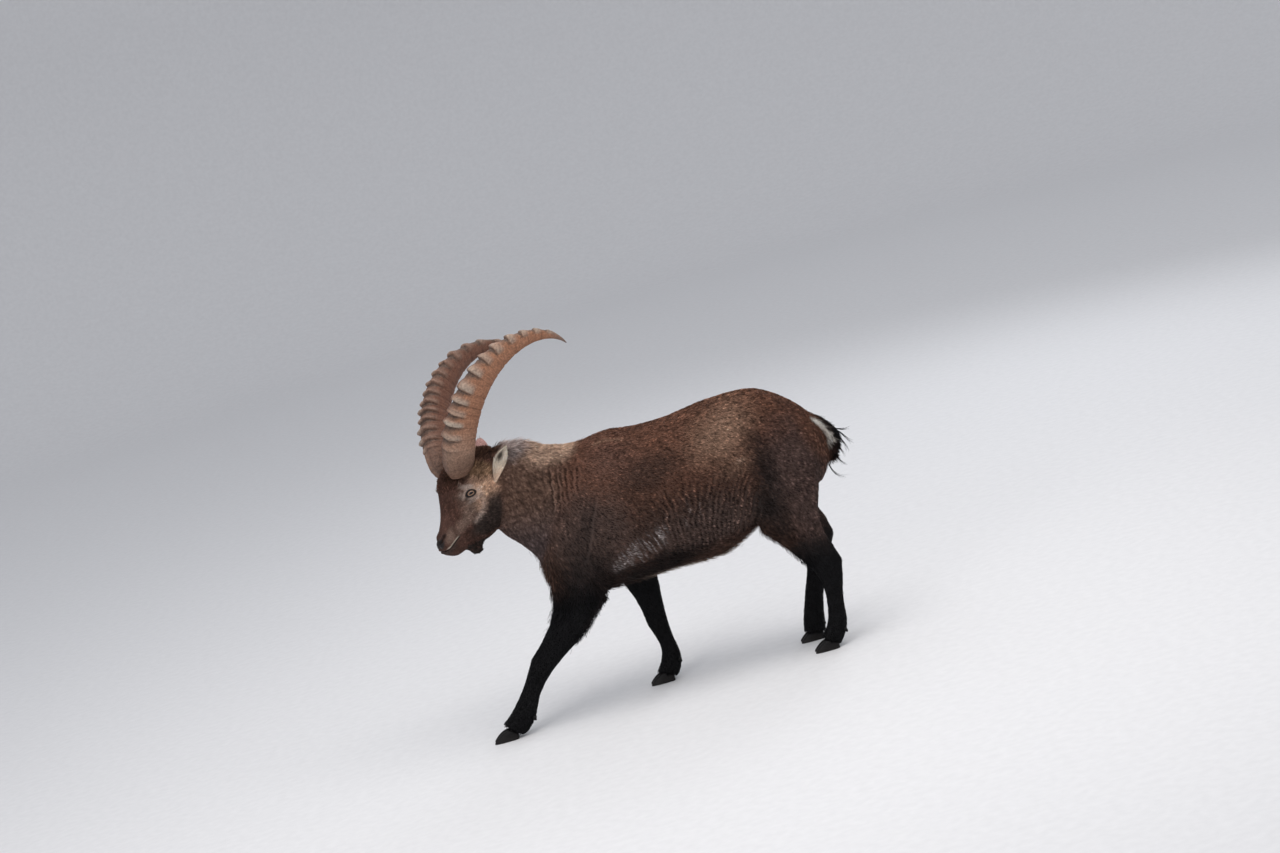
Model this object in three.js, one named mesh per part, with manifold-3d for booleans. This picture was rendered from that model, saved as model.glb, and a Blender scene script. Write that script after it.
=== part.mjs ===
// Alpine ibex: an adult male with large ridged horns, life size, walking with its head low and
// turned to its left. Millimetres, +Z up. It faces -X, and its left side is towards -Y.
// The outlines are those of the coat. Each piece of the body is a skin over a row of sections.
import * as THREE from "three";
import { mergeVertices } from "three/addons/utils/BufferGeometryUtils.js";
import Module from "manifold-3d";

const wasm = await Module();
wasm.setup();

// Driving dimensions

const gap = 0.4; // between touching pieces
const feetApart = 92; // from the middle of the body to each foot
const farReach = 4000; // larger than the animal

// The head turns to the animal's left and leans over a little, about the top of the neck.
const headTurn = {
  joint: new THREE.Vector3(-410, -40, 870),
  yaw: THREE.MathUtils.degToRad(28),
  lean: THREE.MathUtils.degToRad(-4),
};

const horn = {
  length: 677, // along its middle
  base: new THREE.Vector3(-124, -46, 65),
  depth: 109, // front to back at the base, without the knobs
  width: 70,
  tip: 0.03, // the tip's size as a share of the base's
  rise: 86, // degrees above the horizontal at the base
  bend: 106, // degrees lost on the way to the tip
  hook: 36.5, // more degrees, lost near the tip
  splay: [26, -2], // degrees outwards at the base and at the tip
  knobs: 13,
  knobHeight: 10,
  rings: 38,
};

const eye = { radius: 17, at: new THREE.Vector3(-120, -50, -25) };
const browSize = new THREE.Vector3(31, 20, 27); // half sizes of the bony rim round the eye
const ear = {
  length: 124,
  half: 25,
  wall: 5,
  room: 1.5, // between its thin edge and the neck
  // The left ear turns to the side and the right one is pricked. Both are given as left ones.
  root: { left: new THREE.Vector3(-28, -68, -12), right: new THREE.Vector3(-14, -60, 12) },
  points: { left: new THREE.Vector3(50, -51, 100), right: new THREE.Vector3(62, -34, 126) },
  turn: THREE.MathUtils.degToRad(-8), // of its open side, about its length
};
const claw = { length: 84, apart: 15.5, half: 14.5, height: 41 };
const dewclaw = { length: 26, half: 8.5, apart: 15 };

// Each leg's joints, as forward place, distance from the middle of the body and height: top of
// the shoulder or hip, elbow or stifle, knee or hock, fetlock, and top of the hoof. Bulk is the
// thickness of its hair and flesh against the girths below.
const legs = {
  foreleg_left: {
    side: -1,
    toe: -650,
    bulk: 1.06,
    girths: "fore",
    joints: [[-90, 62, 790], [-238, 118, 425], [-422, 98, 217], [-505, 92, 112], [-578, 92, 30]],
  },
  foreleg_right: {
    side: 1,
    toe: -96,
    bulk: 0.95,
    girths: "fore",
    joints: [[-80, 62, 790], [-46, 118, 440], [-16, 98, 215], [-5, 92, 104], [-36, 92, 24]],
  },
  hindleg_left: {
    side: -1,
    toe: 466,
    bulk: 0.95,
    girths: "hind",
    joints: [[500, 60, 800], [508, 106, 470], [586, 96, 280], [570, 92, 100], [526, 92, 26]],
  },
  hindleg_right: {
    side: 1,
    toe: 436,
    bulk: 1.05,
    girths: "hind",
    joints: [[500, 60, 800], [512, 106, 485], [588, 96, 345], [508, 92, 100], [490, 92, 26]],
  },
};

// Four rows for each bone: how far the front and the back edge lie from the line through the
// joints, and the half width.
const girths = {
  fore: [
    [75, 55, 30], [112, 66, 52], [136, 77, 62], [134, 88, 63],
    [98, 86, 55], [62, 70, 47], [46, 57, 39], [40, 45, 34],
    [42, 37, 31], [35, 32, 27], [31, 30, 24], [30, 31, 24],
    [30, 37, 26], [30, 45, 28], [31, 48, 29], [34, 46, 29],
    [40, 40, 29],
  ],
  hind: [
    [82, 95, 30], [104, 160, 58], [120, 164, 67], [134, 138, 62],
    [122, 106, 52], [80, 84, 44], [69, 64, 37], [64, 55, 32],
    [58, 54, 29], [46, 37, 25], [38, 27, 23], [36, 27, 24],
    [35, 34, 26], [36, 38, 28], [36, 39, 29], [36, 39, 29],
    [38, 39, 29],
  ],
};
const rowsToBone = 4;
const legSides = 12;

// A section of the body: its front or upper edge and its rear or lower edge in the side view,
// its half width, its place to the side, and how much wider it is at the front or upper edge.
const section = (front, rear, half, side = 0, egg = 0) => [...front, ...rear, half, side, egg];

// Neck and trunk, from behind the jaw to the tail: the crest or back, and the throat or belly.
const body = {
  sides: 20,
  steps: 2,
  neckEnd: 3, // the section where the neck becomes the trunk
  sections: [
    section([-376, 964], [-446, 694], 72, -44, -0.1),
    section([-300, 956], [-420, 652], 88, -28, -0.15),
    section([-212, 924], [-386, 612], 106, -12, -0.22),
    section([-125, 902], [-344, 545], 130, -2, -0.3),
    section([-60, 910], [-334, 470], 148, 0, -0.3),
    section([0, 915], [-285, 416], 160, 0, -0.28),
    section([45, 908], [-190, 393], 170, 0, -0.22),
    section([105, 902], [-60, 387], 181, 0, -0.15),
    section([200, 903], [110, 394], 193, 0, -0.08),
    section([300, 917], [262, 393], 189, 0, -0.06),
    section([370, 922], [345, 428], 174, 0, -0.04),
    section([440, 922], [415, 470], 160),
    section([505, 912], [485, 500], 148),
    section([565, 880], [580, 520], 128),
    section([617, 837], [650, 545], 106),
    section([662, 786], [682, 598], 76),
    section([690, 726], [696, 646], 36),
  ],
};

// The head in its own straight frame, with its origin at the top of the neck: the line of the
// poll, forehead and nose, and that of the throat, jaw and chin.
const skull = {
  sides: 16,
  steps: 2,
  sections: [
    section([20, 96], [30, -90], 60),
    section([-20, 110], [-6, -140], 72, 0, -0.05),
    section([-78, 106], [-42, -172], 72),
    section([-138, 90], [-78, -188], 66, 0, 0.06),
    section([-186, 50], [-108, -193], 60, 0, 0.05),
    section([-201, 6], [-140, -197], 51, 0, -0.02),
    section([-211, -38], [-166, -199], 43, 0, -0.05),
    section([-226, -78], [-190, -203], 38),
    section([-243, -110], [-212, -204], 37, 0, 0.02),
    section([-257, -137], [-236, -198], 33),
    section([-263, -156], [-253, -187], 22),
  ],
};
const mouth = { front: new THREE.Vector3(-262, 0, -171), corner: new THREE.Vector3(-60, 0, -124) };

const beard = {
  sides: 8,
  steps: 1,
  sections: [
    section([-172, -188], [-104, -180], 20),
    section([-165, -205], [-108, -198], 18),
    section([-154, -218], [-113, -209], 13),
    section([-140, -226], [-118, -218], 6),
  ],
};

const tail = {
  sides: 10,
  steps: 1,
  sections: [
    section([674, 782], [650, 752], 16),
    section([702, 756], [672, 724], 22),
    section([728, 724], [686, 698], 27),
    section([745, 690], [692, 672], 29),
    section([740, 654], [692, 646], 25),
    section([722, 620], [686, 622], 16),
    section([704, 594], [684, 602], 6),
  ],
};

// Turning shapes into solids and back

function merged(geometry) {
  const bare = geometry.clone();
  for (const name of Object.keys(bare.attributes)) {
    if (name !== "position") bare.deleteAttribute(name);
  }
  return mergeVertices(bare, 1e-3);
}

function solid(geometry) {
  const whole = merged(geometry);
  return new wasm.Manifold(
    new wasm.Mesh({
      numProp: 3,
      vertProperties: whole.attributes.position.array,
      triVerts: new Uint32Array(whole.index.array),
    }),
  );
}

function geometryOf(made) {
  const mesh = made.getMesh();
  const places = new Float32Array(mesh.numVert * 3);
  for (let i = 0; i < mesh.numVert; i++) {
    places.set(mesh.vertProperties.subarray(i * mesh.numProp, i * mesh.numProp + 3), i * 3);
  }
  const geometry = new THREE.BufferGeometry();
  geometry.setAttribute("position", new THREE.BufferAttribute(places, 3));
  geometry.setIndex(new THREE.BufferAttribute(new Uint32Array(mesh.triVerts), 1));
  geometry.computeVertexNormals();
  return geometry;
}

// The same shape, larger all round, for cutting its neighbour.
function grown(geometry, by = gap) {
  const whole = merged(geometry);
  whole.computeVertexNormals();
  const { position, normal } = whole.attributes;
  const place = new THREE.Vector3();
  const outwards = new THREE.Vector3();
  for (let i = 0; i < position.count; i++) {
    place.fromBufferAttribute(position, i);
    place.addScaledVector(outwards.fromBufferAttribute(normal, i), by);
    position.setXYZ(i, ...place);
  }
  return solid(whole);
}

// The largest of the bodies that a cut leaves.
const largest = (made) => made.decompose().reduce((a, b) => (b.volume() > a.volume() ? b : a));

// All that lies on the side of a plane that its normal points to.
function halfSpace(point, normal) {
  const block = new THREE.BoxGeometry(farReach, farReach, farReach).translate(0, 0, farReach / 2);
  const up = new THREE.Vector3(0, 0, 1);
  block.applyQuaternion(new THREE.Quaternion().setFromUnitVectors(up, normal));
  return solid(block.translate(...point));
}

// The two sides of a thin cut, first the one that the direction points to.
function parted(made, point, direction) {
  const normal = direction.clone().normalize();
  return [1, -1].map((sign) => {
    const edge = point.clone().addScaledVector(normal, (sign * gap) / 2);
    return made.intersect(halfSpace(edge, normal.clone().multiplyScalar(sign)));
  });
}

// Lofts: a closed skin over a row of rings with equal numbers of points

function middle(ring) {
  const sum = ring.reduce((total, point) => total.add(point), new THREE.Vector3());
  return sum.divideScalar(ring.length);
}

function flip(geometry) {
  const faces = geometry.index.array;
  for (let i = 0; i < faces.length; i += 3) {
    [faces[i], faces[i + 1]] = [faces[i + 1], faces[i]];
  }
  return geometry;
}

function loft(rings) {
  const sides = rings[0].length;
  const faces = [];
  const quad = (a, b, c, d) => faces.push(a, b, d, b, c, d);
  for (let r = 0; r + 1 < rings.length; r++) {
    for (let s = 0; s < sides; s++) {
      const next = (s + 1) % sides;
      quad(r * sides + s, r * sides + next, (r + 1) * sides + next, (r + 1) * sides + s);
    }
  }
  const last = (rings.length - 1) * sides;
  const firstMiddle = rings.length * sides;
  for (let s = 0; s < sides; s++) {
    const next = (s + 1) % sides;
    faces.push(firstMiddle, next, s);
    faces.push(firstMiddle + 1, last + s, last + next);
  }
  const geometry = new THREE.BufferGeometry();
  geometry.setFromPoints([...rings.flat(), middle(rings[0]), middle(rings.at(-1))]);
  geometry.setIndex(faces);
  return solid(geometry).volume() < 0 ? flip(geometry) : geometry;
}

// A value between b and c on the smooth curve through a, b, c and d.
function between(a, b, c, d, t) {
  const square = t * t;
  const cube = square * t;
  return (
    0.5 *
    (2 * b + (c - a) * t + (2 * a - 5 * b + 4 * c - d) * square + (3 * b - a - 3 * c + d) * cube)
  );
}

// Rows of numbers with smooth steps put in between them.
function smoothed(rows, steps) {
  const row = (i) => rows[THREE.MathUtils.clamp(i, 0, rows.length - 1)];
  const made = [];
  for (let i = 0; i + 1 < rows.length; i++) {
    for (let k = 0; k < steps; k++) {
      const near = [row(i - 1), row(i), row(i + 1), row(i + 2)];
      made.push(near[1].map((_, v) => between(...near.map((values) => values[v]), k / steps)));
    }
  }
  return [...made, rows.at(-1)];
}

// Points round a section that is a little squarer than an ellipse, as shares of its half sizes.
function outline(sides) {
  const power = 2 / 2.25;
  const squarer = (value) => Math.sign(value) * Math.abs(value) ** power;
  return Array.from({ length: sides }, (_, s) => {
    const angle = (2 * Math.PI * s) / sides;
    return [squarer(Math.cos(angle)), squarer(Math.sin(angle))];
  });
}

function ringOf([frontX, frontZ, rearX, rearZ, half, side, egg], sides) {
  const front = new THREE.Vector3(frontX, side, frontZ);
  const rear = new THREE.Vector3(rearX, side, rearZ);
  return outline(sides).map(([along, across]) => {
    const point = rear.clone().lerp(front, (1 + along) / 2);
    point.y += half * (1 + egg * along) * across;
    return point;
  });
}

const skinOf = ({ sections, sides, steps }) =>
  loft(smoothed(sections, steps).map((values) => ringOf(values, sides)));

// The rings of a leg stand square to the line through its joints.
function legRings({ side, bulk, joints, girths: kind }) {
  const line = smoothed(joints, rowsToBone).map(([x, aside, z]) => new THREE.Vector3(x, side * aside, z));
  return line.map((centre, i) => {
    const [front, back, half] = girths[kind][i].map((size) => size * bulk);
    const down = line[Math.min(i + 1, line.length - 1)].clone().sub(line[Math.max(i - 1, 0)]);
    const ahead = new THREE.Vector3(down.z, 0, -down.x).normalize();
    return outline(legSides).map(([along, across]) => {
      const reach = (front - back) / 2 + ((front + back) / 2) * along;
      const point = centre.clone().addScaledVector(ahead, reach);
      point.y += half * across;
      return point;
    });
  });
}

// Horn: it rises, sweeps back and hooks down at the tip, with a broad front that carries knobs.

// Knobs stand at even steps along the front, and fade towards the base and the tip.
function knobHeightAt(t) {
  const phase = (t * (horn.knobs + 1.5)) % 1;
  const swell = Math.sin(Math.PI * phase) ** 1.5;
  const { smoothstep } = THREE.MathUtils;
  return horn.knobHeight * swell * smoothstep(t, 0.03, 0.14) * (1 - smoothstep(t, 0.82, 0.95));
}

// Round a horn: how far forward and how far to the side, as shares of its half depth and width.
const hornOutline = [
  [1, 0],
  [0.94, 0.72],
  [0.5, 1],
  [-0.3, 0.84],
  [-0.85, 0.42],
];
const hornFlat = 0.9; // the part of the outline that carries the knobs

function hornRing(centre, front, across, share, knob) {
  const otherSide = hornOutline.slice(1).map(([ahead, aside]) => [ahead, -aside]);
  return [...hornOutline, [-1, 0], ...otherSide.reverse()].map(([ahead, aside]) => {
    const forward = (ahead * horn.depth * share) / 2 + (ahead > hornFlat ? knob : 0);
    const sideways = (aside * horn.width * share) / 2;
    return centre.clone().addScaledVector(front, forward).addScaledVector(across, sideways);
  });
}

function hornGeometry() {
  const radians = THREE.MathUtils.degToRad;
  const centre = horn.base.clone();
  const rings = [];
  for (let r = 0; r <= horn.rings; r++) {
    const t = r / horn.rings;
    const slope = radians(horn.rise - horn.bend * t ** 1.14 - horn.hook * t ** 8);
    const out = radians(THREE.MathUtils.lerp(...horn.splay, t));
    const front = new THREE.Vector3(-Math.sin(slope), 0, Math.cos(slope));
    const ahead = new THREE.Vector3(Math.cos(slope), 0, Math.sin(slope));
    ahead.multiplyScalar(Math.cos(out)).setY(-Math.sin(out));
    const across = new THREE.Vector3().crossVectors(ahead, front).normalize();
    const share = Math.max(1 - 0.97 * t ** 2.2, horn.tip);
    if (r > 0) centre.addScaledVector(ahead, horn.length / horn.rings);
    rings.push(hornRing(centre, front, across, share, knobHeightAt(t)));
  }
  return loft(rings);
}

// Ear: a cupped leaf. Its rings run round the back and again round the hollow front.
function earGeometry(side) {
  const steps = 9;
  const arc = 5;
  const rings = Array.from({ length: steps + 1 }, (_, r) => {
    const t = r / steps;
    const half = ear.half * Math.max(0.06, Math.sin(Math.PI * (0.07 + 0.91 * t ** 1.25)) ** 0.8);
    const wall = Math.min(ear.wall, half * 0.6);
    const bow = 10 * Math.sin(Math.PI * t);
    const hollow = (half * 0.8 - wall) * (r === 0 ? 0.2 : 1);
    const point = (k, wide, deep) => {
      const angle = (Math.PI * k) / arc;
      return new THREE.Vector3(wide * Math.cos(angle), deep * Math.sin(angle) + bow, t * ear.length);
    };
    const back = Array.from({ length: arc + 1 }, (_, k) => point(k, half, half * 0.8));
    const inside = Array.from({ length: arc - 1 }, (_, k) => point(arc - 1 - k, half - wall, hollow));
    return [...back, ...inside];
  });
  const upright = new THREE.Vector3(0, 0, 1);
  const towards = ear.points[side].clone().normalize();
  const geometry = loft(rings).rotateZ(ear.turn);
  geometry.applyQuaternion(new THREE.Quaternion().setFromUnitVectors(upright, towards));
  return geometry.translate(...ear.root[side]);
}

// One claw of a hoof, heel at the origin and toe towards -X, with a flat sole on the floor.
function clawGeometry() {
  const profile = [
    { at: 0, height: 0.5, half: 0.55 },
    { at: 0.12, height: 0.74, half: 0.86 },
    { at: 0.38, height: 1, half: 1 },
    { at: 0.7, height: 0.72, half: 0.9 },
    { at: 0.92, height: 0.32, half: 0.56 },
    { at: 1, height: 0.12, half: 0.22 },
  ];
  const arc = 5;
  const rings = profile.map(({ at, height, half }) =>
    Array.from({ length: arc + 1 }, (_, k) => {
      const angle = (Math.PI * k) / arc;
      const wall = half * claw.half * Math.cos(angle) * (1 - 0.12 * Math.sin(angle));
      return new THREE.Vector3(-at * claw.length, wall, height * claw.height * Math.sin(angle) ** 0.8);
    }),
  );
  return loft(rings);
}

function dewclawGeometry() {
  const shape = new THREE.SphereGeometry(1, 6, 4);
  shape.scale(dewclaw.half * 0.9, dewclaw.half, dewclaw.length / 2);
  return shape.rotateY(THREE.MathUtils.degToRad(-25));
}

// Finishes of the plain model
const finish = (color, roughness) => new THREE.MeshStandardMaterial({ color, roughness, metalness: 0 });
const finishes = {
  coat: finish(0x5a3b2c, 0.9),
  face: finish(0x6b4a37, 0.9),
  legs: finish(0x1f1917, 0.85),
  tail: finish(0x17120f, 0.85),
  horn: finish(0x8a5f47, 0.6),
  eye: finish(0x3a2412, 0.1),
  hoof: finish(0x1b1a1b, 0.5),
};

const ibex = new THREE.Group();

function put(name, made, material) {
  const mesh = new THREE.Mesh(geometryOf(largest(made)), material);
  mesh.name = name;
  ibex.add(mesh);
}

// The head's pieces are shaped in its own frame, the left ones first, and then turned into place.
const headPlace = new THREE.Matrix4()
  .makeTranslation(headTurn.joint)
  .multiply(new THREE.Matrix4().makeRotationZ(headTurn.yaw))
  .multiply(new THREE.Matrix4().makeRotationX(headTurn.lean));

function onHead(geometry, sign = -1) {
  const turned = sign < 0 ? geometry : flip(geometry.scale(1, -1, 1));
  return turned.applyMatrix4(headPlace);
}

function ball(centre, half, sides, bands) {
  return new THREE.SphereGeometry(1, sides, bands).scale(...half).translate(...centre);
}

function buildHead() {
  const skin = onHead(skinOf(skull));
  const aroundSkull = grown(skin);
  let around = aroundSkull;
  let head = solid(skin);
  for (const [side, sign] of [["left", -1], ["right", 1]]) {
    head = head.add(solid(onHead(ball(eye.at, browSize, 10, 8), sign)));
    const half = new THREE.Vector3().setScalar(eye.radius);
    const centre = eye.at.clone().add(new THREE.Vector3(0, -browSize.y + eye.radius - 5, 0));
    const eyeball = onHead(ball(centre, half, 10, 8), sign);
    head = head.subtract(grown(eyeball));
    put(`eye_${side}`, solid(eyeball), finishes.eye);
    put(`horn_${side}`, solid(onHead(hornGeometry(), sign)).subtract(aroundSkull), finishes.horn);
    const leaf = onHead(earGeometry(side), sign);
    put(`ear_${side}`, solid(leaf).subtract(aroundSkull), finishes.face);
    around = around.add(grown(leaf, ear.room));
  }
  put("beard", solid(onHead(skinOf(beard))).subtract(aroundSkull), finishes.tail);

  // The jaw leaves the head at a thin cut from the lips past the corner of the mouth.
  const along = mouth.corner.clone().sub(mouth.front);
  const upwards = new THREE.Vector3(-along.z, 0, along.x).transformDirection(headPlace);
  const [upper, lower] = parted(head, mouth.front.clone().applyMatrix4(headPlace), upwards);
  put("head", upper, finishes.face);
  put("lower_jaw", lower, finishes.face);
  return around;
}

function buildTrunk(aroundHead, shoulders) {
  const skin = skinOf(body);
  let whole = solid(skin).subtract(aroundHead);
  for (const shoulder of shoulders) {
    whole = whole.add(solid(shoulder));
  }
  const [topX, topZ, lowX, lowZ] = body.sections[body.neckEnd];
  const forwards = new THREE.Vector3(lowZ - topZ, 0, topX - lowX);
  const [neck, trunk] = parted(whole, new THREE.Vector3(topX, 0, topZ), forwards);
  put("neck", neck, finishes.coat);
  put("trunk", trunk, finishes.coat);
  const around = grown(skin);
  put("tail", solid(skinOf(tail)).subtract(around), finishes.tail);
  return around;
}

function buildLeg(name, { side, toe }, lower, around) {
  let leg = solid(loft(lower));
  for (const body of around) {
    leg = leg.subtract(body);
  }
  const fetlock = lower.at(-4);
  const behind = fetlock.reduce((a, b) => (b.x > a.x ? b : a));
  for (const [place, sign] of [["inner", -side], ["outer", side]]) {
    const clawAt = [toe + claw.length, side * feetApart + sign * claw.apart, 0];
    const spurAt = [behind.x - 9, side * feetApart + sign * dewclaw.apart, behind.z - 4];
    const hoof = clawGeometry().translate(...clawAt);
    const spur = dewclawGeometry().translate(...spurAt);
    leg = leg.subtract(grown(hoof)).subtract(grown(spur));
    put(`${name}_claw_${place}`, solid(hoof), finishes.hoof);
    put(`${name}_dewclaw_${place}`, solid(spur), finishes.hoof);
  }
  put(name, leg, finishes.legs);
}

const elbowRow = rowsToBone + 1; // where a leg leaves the trunk
const rings = Object.values(legs).map(legRings);
const shoulders = rings.map((row) => loft(row.slice(0, elbowRow + 1)));
const aroundTrunk = buildTrunk(buildHead(), shoulders);
Object.entries(legs).forEach(([name, leg], i) => {
  buildLeg(name, leg, rings[i].slice(elbowRow), [aroundTrunk, grown(shoulders[i])]);
});

// The origin is under the middle of the animal's box, on the floor.
const box = new THREE.Box3().setFromObject(ibex);
const centre = box.getCenter(new THREE.Vector3());
ibex.position.set(-centre.x, -centre.y, -box.min.z);

export default ibex;
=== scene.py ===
"""Alpine ibex, life size: skin, coat, horns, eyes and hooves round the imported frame.

Metres, +Z up. The animal faces -X and its left side is towards -Y. Places named in
millimetres are in the frame's own axes or, for the head, in the head's straight frame.
"""

import logging
import math
from collections.abc import Iterator
from contextlib import contextmanager
from dataclasses import dataclass
from enum import Enum

import bmesh
import bpy
import numpy as np
from mathutils import Matrix, Vector
from mathutils.bvhtree import BVHTree

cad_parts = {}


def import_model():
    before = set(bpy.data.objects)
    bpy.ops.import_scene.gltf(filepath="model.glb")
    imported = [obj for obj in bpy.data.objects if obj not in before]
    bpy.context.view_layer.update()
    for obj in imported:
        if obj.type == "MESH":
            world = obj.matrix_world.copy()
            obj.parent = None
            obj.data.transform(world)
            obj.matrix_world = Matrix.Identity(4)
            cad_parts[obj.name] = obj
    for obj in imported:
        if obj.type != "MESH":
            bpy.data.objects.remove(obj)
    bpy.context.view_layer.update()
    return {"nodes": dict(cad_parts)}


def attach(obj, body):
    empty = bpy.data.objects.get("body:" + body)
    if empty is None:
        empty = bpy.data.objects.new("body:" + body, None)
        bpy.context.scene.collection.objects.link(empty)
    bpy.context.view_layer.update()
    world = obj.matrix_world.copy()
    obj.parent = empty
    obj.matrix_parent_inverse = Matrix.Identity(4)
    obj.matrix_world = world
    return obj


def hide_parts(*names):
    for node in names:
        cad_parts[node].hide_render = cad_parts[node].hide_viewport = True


LOG = logging.getLogger("ibex")
MM = 0.001
SEED = 20
MARKINGS = "Markings"
BARE = "Bare"
PART = "Part"
BAKE_MAP = "OFBake"
ROOT = "root"
MIDDLE = -43.5  # the body's middle plane across, in millimetres
Array = np.ndarray
Tone = tuple[float, float, float]
Place = tuple[float, float, float]
Flat = tuple[float, float]
Piece = bpy.types.Object
Mesh = bpy.types.Mesh
Material = bpy.types.Material
Socket = bpy.types.NodeSocket


# Small sums


def smoothstep(values: Array, low: float, high: float) -> Array:
    """Rises smoothly from 0 at low to 1 at high."""
    t = np.clip((values - low) / (high - low), 0.0, 1.0)
    return t * t * (3.0 - 2.0 * t)


def fall(values: Array, low: float, high: float) -> Array:
    """Falls smoothly from 1 at low to 0 at high."""
    return 1.0 - smoothstep(values, low, high)


def bell(distance: Array) -> Array:
    """A soft bump that is 1 at no distance and almost 0 at 2.5."""
    return np.exp(-0.5 * distance**2)


def rows(*columns: Array | float) -> Array:
    """Columns, or one number for a whole column, side by side."""
    return np.stack(np.broadcast_arrays(*columns), axis=1)


def unit(vectors: Array) -> Array:
    """Each row at length one."""
    return vectors / np.maximum(np.linalg.norm(vectors, axis=-1, keepdims=True), 1e-12)


def mixed(old: Array, new: Array | Tone, share: Array) -> Array:
    """Rows of old, moved towards new by a share for each row."""
    return old + (np.asarray(new) - old) * share[:, None]


def noise(points: Array, size: float, seed: int = 0) -> Array:
    """Smooth noise between -1 and 1.

    Args:
        points: One place in each row.
        size: The distance between its humps, in the unit of the points.
        seed: Picks another pattern.

    Returns:
        One value for each place.
    """
    scaled = points / size + seed * 7.31
    cell = np.floor(scaled).astype(np.int64)
    t = scaled - cell
    t = t * t * (3.0 - 2.0 * t)
    total = np.zeros(len(points))
    for corner in range(8):
        step = np.array([corner & 1, corner >> 1 & 1, corner >> 2 & 1])
        key = (cell + step) @ np.array([374761393, 668265263, 1274126177]) + seed * 97
        key = (key ^ (key >> 13)) * 1103515245 & 0x7FFFFFFF
        value = ((key ^ (key >> 16)) & 0xFFFF) / 32767.5 - 1.0
        total += value * np.prod(np.where(step == 1, t, 1.0 - t), axis=1)
    return total


def fractal(points: Array, size: float, seed: int = 0, octaves: int = 3) -> Array:
    """Noise with finer noise on it, between about -1 and 1."""
    total = sum(noise(points, size / 2**k, seed + k) / 2**k for k in range(octaves))
    return total / (2.0 - 0.5 ** (octaves - 1))


def turned_back(x: Array, z: Array, turn: float) -> tuple[Array, Array]:
    """Places in the side view along and across a direction, which is given in degrees."""
    c, s = math.cos(math.radians(turn)), math.sin(math.radians(turn))
    return x * c + z * s, -x * s + z * c


def filled(tone: Tone, count: int) -> Array:
    """Rows that all hold one colour or direction."""
    return np.tile(np.array(tone), (count, 1))


def to_line(points: Array, line: Array | tuple) -> Array:
    """The distance from each point to a line of straight pieces.

    Args:
        points: One place in each row.
        line: The corners of the line.

    Returns:
        One distance for each place.
    """
    line = np.asarray(line, dtype=float)
    best = np.full(len(points), np.inf)
    for start, end in zip(line[:-1], line[1:]):
        along = end - start
        share = np.clip((points - start) @ along / (along @ along), 0.0, 1.0)
        best = np.minimum(best, np.linalg.norm(points - start - share[:, None] * along, axis=1))
    return best


# The head's frame


@dataclass
class HeadFrame:
    """The head's straight frame: it turns to the left and leans about the top of the neck."""

    top: Place = (-457.5, -82.92, 870.0)  # of the neck, in millimetres
    yaw: float = 28.0  # degrees
    lean: float = -4.0

    def __post_init__(self) -> None:
        """Works out the turn."""
        self.joint = np.array(self.top) * MM
        turn = Matrix.Rotation(math.radians(self.yaw), 3, "Z") @ Matrix.Rotation(math.radians(self.lean), 3, "X")
        self.turn = np.array(turn)

    def placed(self, local: Array) -> Array:
        """Places in the head's frame, in metres, as places in the frame."""
        return self.joint + np.asarray(local) @ self.turn.T

    def turned(self, local: Array) -> Array:
        """Directions in the head's frame as directions in the frame."""
        return np.asarray(local) @ self.turn.T

    def local(self, points: Array) -> Array:
        """Places in the frame as places in the head's frame."""
        return (points - self.joint) @ self.turn

    def folded(self, points: Array) -> Array:
        """Places in the head's frame in millimetres, both sides folded to the left one."""
        inside = self.local(points) / MM
        inside[:, 1] = -np.abs(inside[:, 1])
        return inside


HEAD = HeadFrame()


# Finishes


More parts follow.
